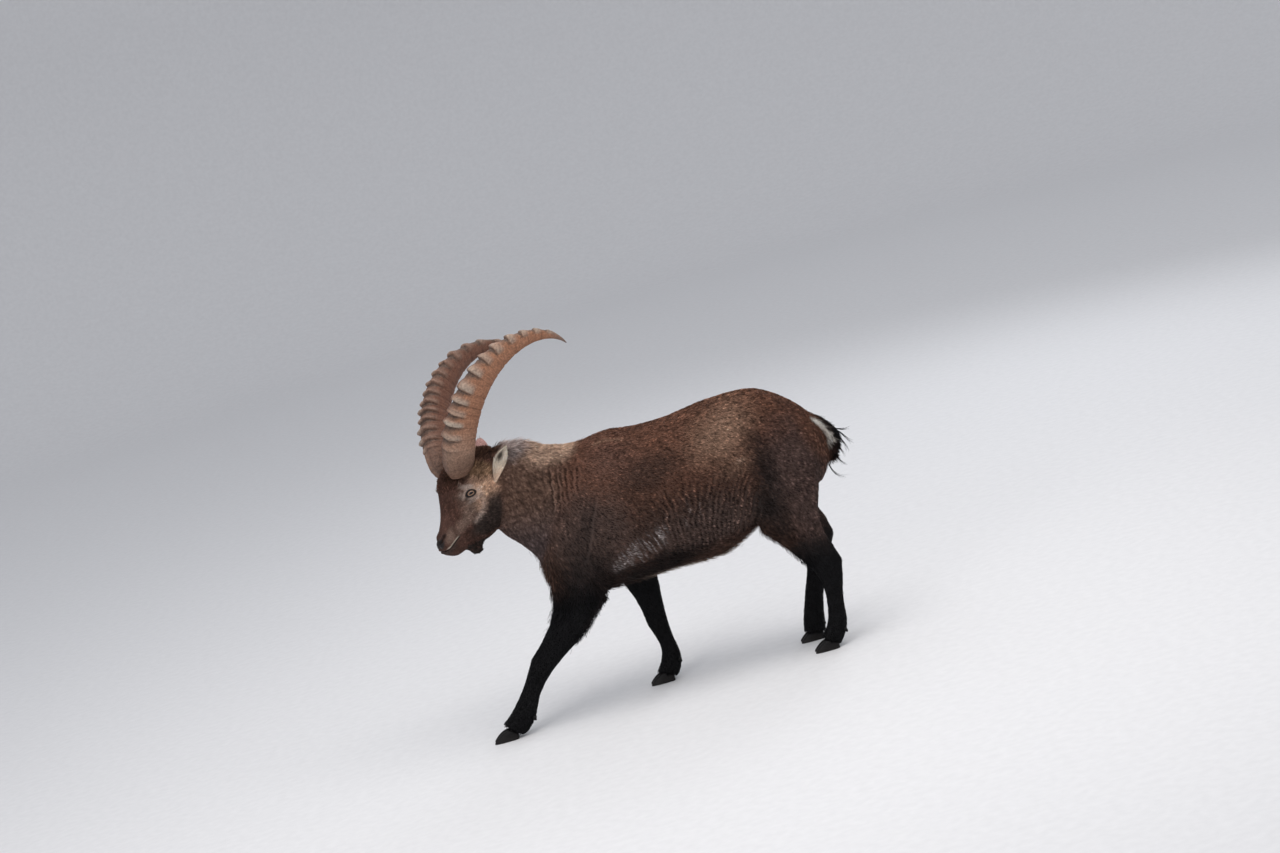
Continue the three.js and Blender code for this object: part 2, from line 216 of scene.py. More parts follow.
class NodeMaker:
    """Puts together the nodes of one material."""

    def __init__(self, name: str) -> None:
        """Starts a material with a Principled shader."""
        self.material = bpy.data.materials.new(name)
        self.material.use_nodes = True
        self.tree = self.material.node_tree
        self.tree.nodes.clear()
        self.shader = self.add("ShaderNodeBsdfPrincipled")
        self.feed(self.add("ShaderNodeOutputMaterial").inputs["Surface"], self.shader.outputs["BSDF"])

    def add(self, kind: str, **settings: object) -> bpy.types.Node:
        """Adds a node and sets its own settings."""
        node = self.tree.nodes.new(kind)
        for name, value in settings.items():
            setattr(node, name, value)
        return node

    def feed(self, socket: Socket, value: object) -> None:
        """Gives a socket what another one sends, or else a number or a colour.

        Args:
            socket: The socket.
            value: Another node's socket, a number, or a colour.
        """
        if isinstance(value, Socket):
            self.tree.links.new(value, socket)
        elif socket.type == "RGBA":
            socket.default_value = (*value, 1.0)
        else:
            socket.default_value = value

    def attribute(self, name: str, output: str = "Color") -> Socket:
        """What the mesh carries under a name: a colour, or with Fac a number."""
        return self.add("ShaderNodeAttribute", attribute_name=name).outputs[output]

    def coordinates(self, scale: Place = (1.0, 1.0, 1.0), uv_map: str = "") -> Socket:
        """Object coordinates, or those of a UV map.

        Args:
            scale: How far they are stretched each way.
            uv_map: The map's name.

        Returns:
            The coordinates.
        """
        if uv_map:
            source = self.add("ShaderNodeUVMap", uv_map=uv_map).outputs["UV"]
        else:
            source = self.add("ShaderNodeTexCoord").outputs["Object"]
        mapping = self.add("ShaderNodeMapping")
        mapping.inputs["Scale"].default_value = scale
        self.feed(mapping.inputs["Vector"], source)
        return mapping.outputs["Vector"]

    def noise(self, where: Socket, scale: float, detail: float = 3.0) -> Socket:
        """A noise pattern."""
        node = self.add("ShaderNodeTexNoise")
        for name, value in (("Scale", scale), ("Detail", detail), ("Vector", where)):
            self.feed(node.inputs[name], value)
        return node.outputs["Fac"]

    def ramp(self, value: Socket, *stops: tuple[float, Tone | float]) -> Socket:
        """Colours along a value.

        Args:
            value: The value.
            stops: Places from 0 to 1, each with a colour or a grey.

        Returns:
            The colour.
        """
        node = self.add("ShaderNodeValToRGB")
        elements = node.color_ramp.elements
        while len(elements) < len(stops):
            elements.new(0.5)
        for element, (place, colour) in zip(elements, stops):
            element.position = place
            element.color = (*colour, 1.0) if isinstance(colour, tuple) else (colour, colour, colour, 1.0)
        self.feed(node.inputs["Fac"], value)
        return node.outputs["Color"]

    def mix(self, share: object, one: object, two: object, blend: str = "MIX") -> Socket:
        """Two colours mixed or multiplied."""
        node = self.add("ShaderNodeMix", data_type="RGBA", blend_type=blend)
        for index, value in ((0, share), (6, one), (7, two)):  # the factor, A and B of colours
            self.feed(node.inputs[index], value)
        return node.outputs[2]

    def mottled(self, colour: object, pattern: Socket, dark: Tone | float, light: Tone | float,
                stops: Flat = (0.3, 0.7), share: float = 1.0) -> Socket:
        """A colour made darker and lighter along a pattern, between two of its values."""
        return self.mix(share, colour, self.ramp(pattern, (stops[0], dark), (stops[1], light)), "MULTIPLY")

    def math(self, operation: str, one: object, two: object = 0.0, third: object = 0.0) -> Socket:
        """A sum on numbers."""
        node = self.add("ShaderNodeMath", operation=operation)
        for socket, value in zip(node.inputs, (one, two, third)):
            self.feed(socket, value)
        return node.outputs[0]

    def split(self, vector: Socket) -> tuple[Socket, ...]:
        """The three numbers of a vector."""
        node = self.add("ShaderNodeSeparateXYZ")
        self.feed(node.inputs[0], vector)
        return tuple(node.outputs)

    def bump(self, height: Socket, strength: float, distance: float) -> None:
        """Gives the shader a bump."""
        node = self.add("ShaderNodeBump")
        for name, value in (("Strength", strength), ("Distance", distance), ("Height", height)):
            self.feed(node.inputs[name], value)
        self.set(Normal=node.outputs["Normal"])

    def set(self, **values: object) -> None:
        """Sets the shader's own sockets."""
        for name, value in values.items():
            self.feed(self.shader.inputs[name.replace("_", " ")], value)


@dataclass(frozen=True)
class HideFinish:
    """Short flat hair over the skin, and the bare moist skin of the nose."""

    grain: float = 420.0
    blotches: float = 38.0
    pebbles: float = 620.0  # of the bare skin
    hair_roughness: float = 0.72
    bare_roughness: float = 0.5
    shine: float = 0.2

    def made(self) -> Material:
        """The material: the markings, broken up by a fine grain, over a hairy bump."""
        n = NodeMaker("hide")
        where = n.coordinates()
        grained = n.mottled(n.attribute(MARKINGS), n.noise(where, self.grain, 4.0), 0.62, 1.25)
        blotches = n.noise(where, self.blotches, 4.0)
        n.set(Base_Color=n.mottled(grained, blotches, 0.86, 1.1), Specular_IOR_Level=self.shine)
        bare = n.attribute(BARE, "Fac")
        pebbles = n.add("ShaderNodeTexVoronoi")
        n.feed(pebbles.inputs["Scale"], self.pebbles)
        n.feed(pebbles.inputs["Vector"], where)
        rough = n.math("MULTIPLY_ADD", bare, self.bare_roughness - self.hair_roughness, self.hair_roughness)
        n.set(Roughness=rough)
        hairy = n.noise(n.coordinates((1.0, 1.0, 0.35)), 900.0, 2.0)
        n.bump(n.mix(bare, hairy, pebbles.outputs["Distance"]), 0.55, 0.0012)
        return n.material


@dataclass(frozen=True)
class CoatFinish:
    """Locks of hair that carry their own colour."""

    name: str = "hair"
    roughness: float = 0.82
    shine: float = 0.1
    strands: float = 700.0

    def made(self) -> Material:
        """The material: the markings with fine strands of lighter and darker hair."""
        n = NodeMaker(self.name)
        strands = n.noise(n.coordinates(), self.strands, 2.0)
        n.set(Base_Color=n.mottled(n.attribute(MARKINGS), strands, 0.74, 1.2))
        n.set(Roughness=self.roughness, Specular_IOR_Level=self.shine)
        return n.material


@dataclass(frozen=True)
class HornFinish:
    """Dull keratin: warm brown with fine cross striations and greyish worn knobs, with painted shade below and between
    them and on the inner side.
    """

    warm: Tone = (0.330, 0.160, 0.092)
    deep: Tone = (0.265, 0.125, 0.072)
    light: Tone = (0.385, 0.205, 0.125)
    # painted shade: darkens and cools the horn's inner side
    inner: Tone = (0.50, 0.48, 0.54)
    worn: Tone = (0.345, 0.275, 0.220)
    tip: Tone = (0.150, 0.122, 0.108)
    # painted shade below and between the knobs; the same dark tone is also laid at the root
    gap: Tone = (0.068, 0.044, 0.033)

    def made(self) -> Material:
        """The material, on the horn's own map: round it and along it in metres."""
        n = NodeMaker("horn_keratin")
        striae = n.noise(n.coordinates((26.0, 520.0, 1.0), "Horn"), 1.0, 4.0)
        rings = n.noise(n.coordinates((1.2, 75.0, 1.0), "Horn"), 1.0, 2.0)
        spots, grains = n.noise(n.coordinates(), 150.0, 5.0), n.noise(n.coordinates(), 640.0, 2.0)
        base = n.ramp(striae, (0.30, self.deep), (0.52, self.warm), (0.74, self.light))
        base = n.mottled(base, grains, 0.6, 1.35)
        base = n.mottled(base, rings, (0.55, 0.5, 0.5), 1.0, (0.28, 0.42))
        base = n.mottled(base, spots, (0.66, 0.64, 0.64), (1.2, 1.17, 1.16), (0.3, 0.68))
        # painted shade on the horn's inner side
        base = n.mix(n.attribute("InnerShade", "Fac"), base, n.mix(1.0, base, self.inner, "MULTIPLY"))
        worn = n.mottled(self.worn, spots, 0.55, 1.15, (0.3, 0.65))
        colour = n.mix(n.attribute("Worn", "Fac"), base, worn)
        colour = n.mix(n.attribute("Tip", "Fac"), colour, self.tip)
        # painted shade below and between the knobs, and the darker root
        gap = n.mottled(n.mottled(self.gap, grains, 0.5, 1.7), spots, 0.6, 1.5)
        n.set(Base_Color=n.mix(n.attribute("GapShadeAndRoot", "Fac"), colour, gap))
        n.set(Roughness=n.math("MULTIPLY_ADD", spots, 0.25, 0.48), Specular_IOR_Level=0.28)
        n.bump(n.math("MULTIPLY_ADD", spots, 0.5, n.math("MULTIPLY_ADD", grains, 0.4, striae)), 0.6, 0.0013)
        return n.material


@dataclass(frozen=True)
class EyeFinish:
    """A wet brown eye with a level, slot-shaped pupil; lengths are shares of the ball's radius."""

    iris_radius: float = 0.74
    pupil: Flat = (0.46, 0.22)
    iris: tuple[Tone, Tone] = ((0.11, 0.06, 0.036), (0.30, 0.185, 0.125))
    black: Tone = (0.001, 0.001, 0.0015)

    def made(self) -> Material:
        """The material, on the eye's own map, whose middle is where the eye looks."""
        n = NodeMaker("eye_wet")
        along, up, _ = n.split(n.add("ShaderNodeUVMap", uv_map="Gaze").outputs["UV"])
        radius = n.math("SQRT", n.math("ADD", n.math("POWER", along, 2.0), n.math("POWER", up, 2.0)))
        shares = (n.math("ABSOLUTE", n.math("DIVIDE", way, half)) for way, half in zip((along, up), self.pupil))
        slot = n.math("ADD", *(n.math("POWER", share, 3.0) for share in shares))
        streaks = n.noise(n.coordinates((14.0, 14.0, 1.0), "Gaze"), 1.6, 5.0)
        iris = n.ramp(streaks, *zip((0.3, 0.7), self.iris))
        edge = self.iris_radius
        ring = n.ramp(radius, (0.0, 0.55), (0.4, 1.15), (edge - 0.1, 0.9), (edge, 0.08))
        dark = n.ramp(slot, (0.75, 0.0), (1.0, 1.0))
        n.set(Base_Color=n.mix(dark, self.black, n.mix(1.0, iris, ring, "MULTIPLY")), Roughness=0.28)
        n.set(Coat_Weight=0.4, Coat_Roughness=0.02, Specular_IOR_Level=0.12)
        return n.material


@dataclass(frozen=True)
class HoofFinish:
    """Dark hard keratin with growth lines, greyer and dusty where it wears."""

    dark: Tone = (0.006, 0.0055, 0.0058)
    dusty: Tone = (0.022, 0.019, 0.018)

    def made(self) -> Material:
        """The material: level growth lines and a worn lower edge."""
        n = NodeMaker("hoof_keratin")
        lines = n.noise(n.coordinates((12.0, 12.0, 330.0)), 1.0, 2.0)
        spots = n.noise(n.coordinates(), 160.0, 5.0)
        height = n.split(n.add("ShaderNodeTexCoord").outputs["Object"])[2]
        low = n.ramp(n.math("MULTIPLY", height, 22.0), (0.05, 1.0), (0.5, 0.0))
        wear = n.math("MULTIPLY", n.math("ADD", low, 0.25), spots)
        colour = n.mix(wear, self.dark, self.dusty)
        n.set(Base_Color=n.mottled(colour, lines, 0.6, 1.3, (0.35, 0.65), 0.5))
        n.set(Roughness=n.math("MULTIPLY_ADD", spots, 0.25, 0.32), Specular_IOR_Level=0.14)
        n.bump(n.math("MULTIPLY_ADD", lines, 0.7, spots), 0.5, 0.001)
        return n.material


@dataclass(frozen=True)
class LidFinish:
    """The bare black edge of the eyelids: moist dark skin with fine pores."""

    dark: Tone = (0.004, 0.003, 0.003)
    light: Tone = (0.012, 0.009, 0.009)

    def made(self) -> Material:
        """The material."""
        n = NodeMaker("eyelid_edge")
        pores = n.noise(n.coordinates(), 1500.0, 3.0)
        n.set(Base_Color=n.ramp(pores, (0.3, self.dark), (0.7, self.light)), Roughness=0.5)
        n.set(Specular_IOR_Level=0.25)
        n.bump(pores, 0.3, 0.0003)
        return n.material


# Meshes from rows of numbers


def mesh_object(name: str, points: Array, faces: Array) -> Piece:
    """A new object with a mesh of triangles or of quads.

    Args:
        name: The object's name.
        points: One place in each row.
        faces: The numbers of each face's corners.

    Returns:
        The object, linked to the scene.
    """
    mesh = bpy.data.meshes.new(name)
    mesh.vertices.add(len(points))
    mesh.vertices.foreach_set("co", points.astype(np.float32).ravel())
    mesh.loops.add(faces.size)
    mesh.loops.foreach_set("vertex_index", faces.astype(np.int32).ravel())
    mesh.polygons.add(len(faces))
    mesh.polygons.foreach_set("loop_start", np.arange(len(faces), dtype=np.int32) * faces.shape[1])
    mesh.polygons.foreach_set("use_smooth", np.ones(len(faces), dtype=bool))
    mesh.update(calc_edges=True)
    made = bpy.data.objects.new(name, mesh)
    bpy.context.scene.collection.objects.link(made)
    return made


def grid_faces(rings: int, sides: int, flip: bool = False) -> Array:
    """The quads between rings of points, each ring closed.

    Args:
        rings: How many rings.
        sides: How many points are in each.
        flip: Turns the faces round.

    Returns:
        The numbers of each quad's corners.
    """
    r, s = np.meshgrid(np.arange(rings - 1), np.arange(sides), indexing="ij")
    a = r * sides + s
    b = r * sides + (s + 1) % sides
    quads = np.stack([a, b, b + sides, a + sides], axis=-1).reshape(-1, 4)
    return quads[:, ::-1] if flip else quads


def halved(quads: Array) -> Array:
    """Each quad cut in two triangles."""
    return np.concatenate([quads[:, [0, 1, 2]], quads[:, [0, 2, 3]]])


def fetched(items: bpy.types.bpy_prop_collection, name: str, width: int = 1, kind: type = np.float32) -> Array:
    """Reads a value of each item of a mesh.

    Args:
        items: Its points, edges, faces or a layer's data.
        name: What to read.
        width: How many numbers it has.
        kind: The kind of number.

    Returns:
        One row for each item, or one number where the width is 1.
    """
    found = np.empty(len(items) * width, dtype=kind)
    items.foreach_get(name, found)
    return found.reshape(-1, width) if width > 1 else found


def positions(mesh: Mesh) -> Array:
    """The places of a mesh's points."""
    return fetched(mesh.vertices, "co", 3).astype(float)


def move_to(mesh: Mesh, points: Array) -> None:
    """Puts a mesh's points in new places."""
    mesh.vertices.foreach_set("co", points.astype(np.float32).ravel())
    mesh.update()


def give_colours(mesh: Mesh, name: str, colours: Array) -> None:
    """Stores a colour for each point of a mesh."""
    layer = mesh.attributes.new(name, "FLOAT_COLOR", "POINT")
    full = np.concatenate([colours, np.ones((len(colours), 1))], axis=1)
    layer.data.foreach_set("color", full.astype(np.float32).ravel())


def give_numbers(mesh: Mesh, name: str, values: Array) -> None:
    """Stores a number for each point of a mesh."""
    layer = mesh.attributes.new(name, "FLOAT", "POINT")
    layer.data.foreach_set("value", values.astype(np.float32))


def give_parts(mesh: Mesh, values: Array | list[int]) -> None:
    """Stores which part each point of a mesh belongs to."""
    layer = mesh.attributes.get(PART) or mesh.attributes.new(PART, "INT", "POINT")
    layer.data.foreach_set("value", np.array(values, dtype=np.int32))


def give_map(mesh: Mesh, name: str, where: Array) -> None:
    """Gives a mesh a UV map, with one place for each corner of its faces."""
    mesh.uv_layers.new(name=name).uv.foreach_set("vector", where.astype(np.float32).ravel())


def numbers(mesh: Mesh, name: str) -> Array:
    """Reads a number for each point of a mesh."""
    return fetched(mesh.attributes[name].data, "value").astype(float)


def only(*objects: Piece) -> None:
    """Selects these objects and nothing else, the first one active."""
    bpy.ops.object.select_all(action="DESELECT")
    for item in objects:
        item.select_set(True)
    bpy.context.view_layer.objects.active = objects[0]


@contextmanager
def editing(piece: Piece) -> Iterator[None]:
    """Opens a piece in edit mode, with all of it selected, and closes it again."""
    only(piece)
    bpy.ops.object.mode_set(mode="EDIT")
    bpy.ops.mesh.select_all(action="SELECT")
    yield
    bpy.ops.object.mode_set(mode="OBJECT")


def copied(name: str, *nodes: Piece) -> Piece:
    """One piece copied from nodes of the frame, with its doubled points merged.

    Args:
        name: The piece's name.
        nodes: The nodes, the one that the others are joined to first.

    Returns:
        The piece, free of the frame.
    """
    only(*nodes)
    bpy.ops.object.duplicate()
    if len(nodes) > 1:
        bpy.ops.object.join()
    piece = bpy.context.object
    piece.name = piece.data.name = name
    piece.parent = None
    for key in list(piece.keys()):
        del piece[key]
    with editing(piece):
        bpy.ops.mesh.remove_doubles(threshold=1e-5)
    return piece


def finished(piece: Piece, slot: str, finish: Material, *nodes: str) -> None:
    """Gives a piece its finish and ties it to the frame.

    Args:
        piece: The piece.
        slot: Not used.
        finish: Its material.
        nodes: The nodes that it stands for.
    """
    piece.data.materials.clear()
    piece.data.materials.append(finish)
    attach(piece, ROOT)
    if nodes:
        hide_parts(*nodes)
    LOG.info("%s: %d faces", piece.name, len(piece.data.polygons))


class Net:
    """The neighbours of each point of a mesh, for smoothing."""

    def __init__(self, mesh: Mesh) -> None:
        """Reads the mesh's edges."""
        self.count = len(mesh.vertices)
        self.a, self.b = fetched(mesh.edges, "vertices", 2, np.int32).T
        ends = np.concatenate([self.a, self.b])
        self.degree = np.maximum(np.bincount(ends, minlength=self.count), 1)

    def average(self, values: Array) -> Array:
        """The mean of each point's neighbours.

        Args:
            values: One row or number for each point.

        Returns:
            The means, in the same form.
        """

        def total(column: Array) -> Array:
            """The sum over each point's neighbours."""
            return np.bincount(self.a, column[self.b], self.count) + np.bincount(self.b, column[self.a], self.count)

        totals = rows(*(total(column) for column in values.reshape(self.count, -1).T))
        return (totals / self.degree[:, None]).reshape(values.shape)

    def relaxed(self, values: Array, rounds: int, weight: Array | float = 1.0, keep: bool = True) -> Array:
        """Smooths values over the mesh.

        Args:
            values: One row or number for each point.
            rounds: How many times.
            weight: How freely each point moves, 0 to 1.
            keep: Alternates with a step outwards, so that a shape doesn't shrink.

        Returns:
            The smoothed values.
        """
        share = np.broadcast_to(np.asarray(weight, dtype=float), (self.count,))
        share = share[:, None] if values.ndim == 2 else share
        for _ in range(rounds):
            values = values + 0.5 * share * (self.average(values) - values)
            if keep:
                values = values - 0.53 * share * (self.average(values) - values)
        return values


class Part(Enum):
    """What a point of the skin belongs to."""

    HEAD = 0
    NECK = 1
    TRUNK = 2
    TAIL = 3
    LEG = 4
    EAR = 5


PART_OF = {
    **dict.fromkeys(("head", "lower_jaw", "beard", "eye_left", "eye_right"), Part.HEAD),
    "neck": Part.NECK,
    "trunk": Part.TRUNK,
    "tail": Part.TAIL,
    **dict.fromkeys(("foreleg_left", "foreleg_right", "hindleg_left", "hindleg_right"), Part.LEG),
}
# The joints of each leg from the top down, in millimetres.
LEGS = {
    "foreleg_left": (
        (-137.5, -105.5, 790), (-285.5, -161.5, 425), (-469.5, -141.5, 217), (-552.5, -135.5, 112), (-640, -135.5, 15)
    ),
    "foreleg_right": (
        (-127.5, 18.5, 790), (-93.5, 74.5, 440), (-63.5, 54.5, 215), (-52.5, 48.5, 104), (-90, 48.5, 15)
    ),
    "hindleg_left": (
        (452.5, -103.5, 800), (460.5, -149.5, 470), (538.5, -139.5, 280), (522.5, -135.5, 100), (470, -135.5, 15)
    ),
    "hindleg_right": (
        (452.5, 16.5, 800), (464.5, 62.5, 485), (540.5, 52.5, 345), (460.5, 48.5, 100), (440, 48.5, 15)
    ),
}
CLAWS = [f"{leg}_{kind}_{place}" for leg in LEGS for kind in ("claw", "dewclaw") for place in ("inner", "outer")]


# Shapes of flesh


@dataclass(frozen=True)
class Form:
    """A soft swelling or hollow of the skin, in millimetres."""

    place: Place
    reach: Place
    height: float
    turn: float = 0.0  # degrees, in the side view

    def at(self, points: Array) -> Array:
        """Its height at each place, in metres."""
        x, y, z = (points - np.array(self.place)).T
        x, z = turned_back(x, z, self.turn)
        rx, ry, rz = self.reach
        return self.height * MM * bell(np.sqrt((x / rx) ** 2 + (y / ry) ** 2 + (z / rz) ** 2))


# In the frame, both sides folded to the left one about the middle of the body.
BODY_FORMS = (
    Form((-215, -130, 640), (42, 90, 95), 7.0, 18.0),  # shoulder muscle
    Form((-150, -110, 790), (20, 80, 90), 4.0, 24.0),  # blade
    Form((-95, -150, 690), (30, 90, 110), -5.0, 12.0),  # hollow behind the shoulder
    Form((-190, -140, 500), (50, 80, 60), 5.0, 30.0),  # upper arm
    Form((60, -150, 640), (130, 90, 90), 5.0),  # ribs
    Form((300, -150, 640), (55, 90, 110), -9.0, -8.0),  # flank hollow
    Form((372, -110, 800), (32, 60, 26), 7.0, 20.0),  # hip bone
    Form((480, -130, 640), (70, 80, 95), 7.0),  # thigh
    Form((385, -150, 505), (26, 80, 70), -5.0, 12.0),  # fold before the thigh
    Form((435, -140, 470), (30, 60, 40), 5.0),  # stifle
    Form((-400, -110, 780), (60, 80, 60), 4.0),  # neck behind the jaw
    Form((-300, -100, 640), (50, 80, 70), 4.0, 30.0),  # base of the neck
)
# In the head's frame, folded to the left.
HEAD_FORMS = (
    Form((-82, -52, -102), (30, 24, 34), 4.5),  # cheek muscle
    Form((-158, -48, -84), (34, 22, 9), 3.6, -42.0),  # cheekbone ridge
    Form((-160, -46, -30), (14, 16, 17), -4.5, -40.0),  # tear pit
    Form((-205, -36, -88), (22, 16, 24), -4.0, -50.0),  # hollow of the nose's side
    Form((-132, -58, 8), (24, 20, 8), 4.5, -14.0),  # brow
    Form((-165, 0, 30), (30, 20, 34), 3.0),  # forehead
    Form((-215, 0, -52), (20, 9, 40), 1.8, -68.0),  # bridge of the nose
    Form((-249, -22, -128), (9, 9, 8), 3.2, -30.0),  # wing of the nostril
    Form((-240, -24, -160), (16, 14, 9), 3.4, -32.0),  # upper lip
    Form((-232, -22, -186), (20, 16, 8), 2.6, -30.0),  # lower lip
    Form((-212, -14, -204), (18, 16, 8), 3.0),  # chin
    Form((-150, -40, -168), (34, 14, 16), -4.0, -10.0),  # between the jaw's bones
    Form((-62, -60, -40), (16, 18, 34), -2.6),  # before the ear
)
MOUTH = ((-275, -180), (-258, -179), (-240, -173), (-223, -163), (-206, -153), (-192, -145))
NOSTRIL = ((-243, -27, -127), (-250, -26, -135), (-256, -20, -143), (-262, -11, -148))


@dataclass(frozen=True)
class EyeShape:
    """The eyeball and its opening, in the head's frame, in millimetres."""

    centre: Place = (-120.0, -58.0, -25.0)
    radius: float = 16.6
    gaze: Place = (-0.33, -0.91, 0.24)
    half_length: float = 15.2
    half_height: Flat = (10.0, 8.6)  # above and below
    tilt: float = 5.0
    lid: float = 1.5  # how far the lids stand off the ball

    def axes(self) -> tuple[Array, Array, Array]:
        """The eye's own directions: towards the nose, up, and where it looks."""
        look = unit(np.array(self.gaze))
        forward = np.array([-1.0, 0.0, 0.0])
        forward = unit(forward - look * (forward @ look))
        up = unit(np.cross(look, forward))
        up = up if up[2] > 0 else -up
        t = math.radians(-self.tilt)
        return forward * math.cos(t) + up * math.sin(t), up * math.cos(t) - forward * math.sin(t), look

    def measured(self, folded: Array) -> tuple[Array, Array, Array]:
        """How far open the lids are at each place.

        Args:
            folded: Places in the head's frame, in millimetres.

        Returns:
            The opening's own distance (1 on its edge), the place from the ball's centre, and
            the depth along the gaze.
        """
        forward, up, look = self.axes()
        gap = folded - np.array(self.centre)
        u, v, w = gap @ forward, gap @ up, gap @ look
        high, low = self.half_height
        edge = np.abs(u) / self.half_length
        half = np.where(v > 0, high, low)
        return np.sqrt(edge**2.0 + (v / half) ** 2) + 0.12 * edge**2 * (np.abs(v) / half), gap, w

    def rim(self, count: int) -> tuple[Array, Array]:
        """Places round the edge of the opening on the ball, and the directions out of it.

        Args:
            count: How many.

        Returns:
            The places, and a direction for each.
        """
        forward, up, look = self.axes()
        angle = np.linspace(0.0, 2.0 * np.pi, count, endpoint=False)
        u = self.half_length * np.cos(angle)
        half = np.where(np.sin(angle) > 0, *self.half_height)
        v = half * np.sin(angle) * (1.0 - 0.1 * np.cos(angle) ** 2)
        w = np.sqrt(np.maximum(self.radius**2 - u**2 - v**2, 4.0))
        gap = u[:, None] * forward + v[:, None] * up + w[:, None] * look
        return gap + np.array(self.centre), unit(gap)


EYE = EyeShape()


@dataclass(frozen=True)
class EarShape:
    """A cupped leaf with a thin rim, in the head's frame, in millimetres."""

    length: float = 126.0
    half: float = 22.5
    wall: float = 3.0
    root: Place = (-28.0, -71.0, -13.0)
    points: Place = (50.0, -49.0, 100.0)  # where it points to
    blunt: float = 0.8
    turn: float = math.radians(-8.0)  # of its open side
    rings: int = 44
    sides: int = 30  # half of them round the back and half round the hollow

    def made(self, sign: float) -> tuple[Array, Array, Array, Array]:
        """The ear of one side, left for -1.

        Args:
            sign: The side.

        Returns:
            Its places, its quads, and at each place 1 on the hollow side and 1 deep inside it.
        """
        t = np.linspace(-0.12, 0.985, self.rings)
        leaf = 0.07 + 0.91 * np.clip(t, 0.0, 1.0) ** 1.25
        half = self.half * np.maximum(0.05, np.sin(np.pi * leaf)) ** self.blunt
        bow = 10.0 * np.sin(np.pi * np.clip(t, 0.0, 1.0))
        wall = np.minimum(self.wall, half * 0.4)
        open_share = smoothstep(t, 0.02, 0.2)
        angle = np.pi * (np.arange(self.sides // 2) / (self.sides // 2 - 1))
        rings = []
        for i in range(self.rings):
            back = rows(half[i] * np.cos(angle), half[i] * 0.8 * np.sin(angle))
            deep = (half[i] * 0.8 - wall[i]) * (0.15 + 0.85 * open_share[i])
            inner = rows((half[i] - wall[i]) * np.cos(angle[::-1]), deep * np.sin(angle[::-1]))
            inner[:, 1] -= 1.2
            ring = np.concatenate([back, inner])
            rings.append(rows(ring[:, 0], ring[:, 1] + bow[i], t[i] * self.length))
        points = np.concatenate(rings)
        spin = np.array(Matrix.Rotation(self.turn, 3, "Z"))
        aim = Vector((0, 0, 1)).rotation_difference(Vector(self.points).normalized()).to_matrix()
        points = (points @ spin.T) @ np.array(aim).T + np.array(self.root)
        faces = grid_faces(self.rings, self.sides, flip=sign > 0)
        last = len(points) - self.sides
        middle = points[last:].mean(axis=0) + unit(np.array(self.points)) * 1.5
        caps = np.array([[last + s, last + (s + 1) % self.sides, len(points), len(points)] for s in range(self.sides)])
        points = np.concatenate([points, middle[None]])
        if sign > 0:
            points[:, 1] *= -1.0
            caps = caps[:, [1, 0, 2, 3]]
        hollow = np.tile(np.arange(self.sides) >= self.sides // 2, self.rings).astype(float)
        across = np.tile(np.concatenate([angle * 0, angle[::-1]]), self.rings)
        deep = hollow * bell((across - np.pi / 2) / 0.46) * bell((np.repeat(t, self.sides) - 0.66) / 0.15)
        marks = [np.concatenate([mark, [0.0]]) for mark in (hollow, deep)]
        return HEAD.placed(points * MM), np.concatenate([faces, caps]), *marks


EARS = {
    "left": EarShape(half=24.0),
    "right": EarShape(half=30.0, root=(-14.0, -60.0, 12.0), points=(62.0, -34.0, 126.0), blunt=0.55),
}


# The lie of the hair


@dataclass(frozen=True)
class Lie:
    """Hair that runs along a line from start to end, in the frame, in millimetres."""

    start: Place
    end: Place
    reach: float


BODY_LIES = (
    Lie((-400, -60, 930), (-230, -44, 870), 60.0),  # crest
    Lie((-440, -60, 840), (-330, -44, 560), 80.0),  # throat
    Lie((-380, -60, 860), (-220, -44, 640), 90.0),  # side of the neck
    Lie((-170, -44, 850), (560, -44, 850), 110.0),  # back
    Lie((-140, -44, 640), (420, -44, 600), 120.0),  # side
    Lie((-160, -44, 440), (350, -44, 440), 70.0),  # belly
    Lie((520, -44, 830), (630, -44, 620), 70.0),  # rump
    Lie((640, -44, 730), (670, -44, 610), 40.0),  # tail
)


COAT_DEPTHS = {Part.TRUNK: 7.0, Part.NECK: 8.0, Part.LEG: 3.0, Part.TAIL: 12.5, Part.HEAD: 2.2}  # millimetres


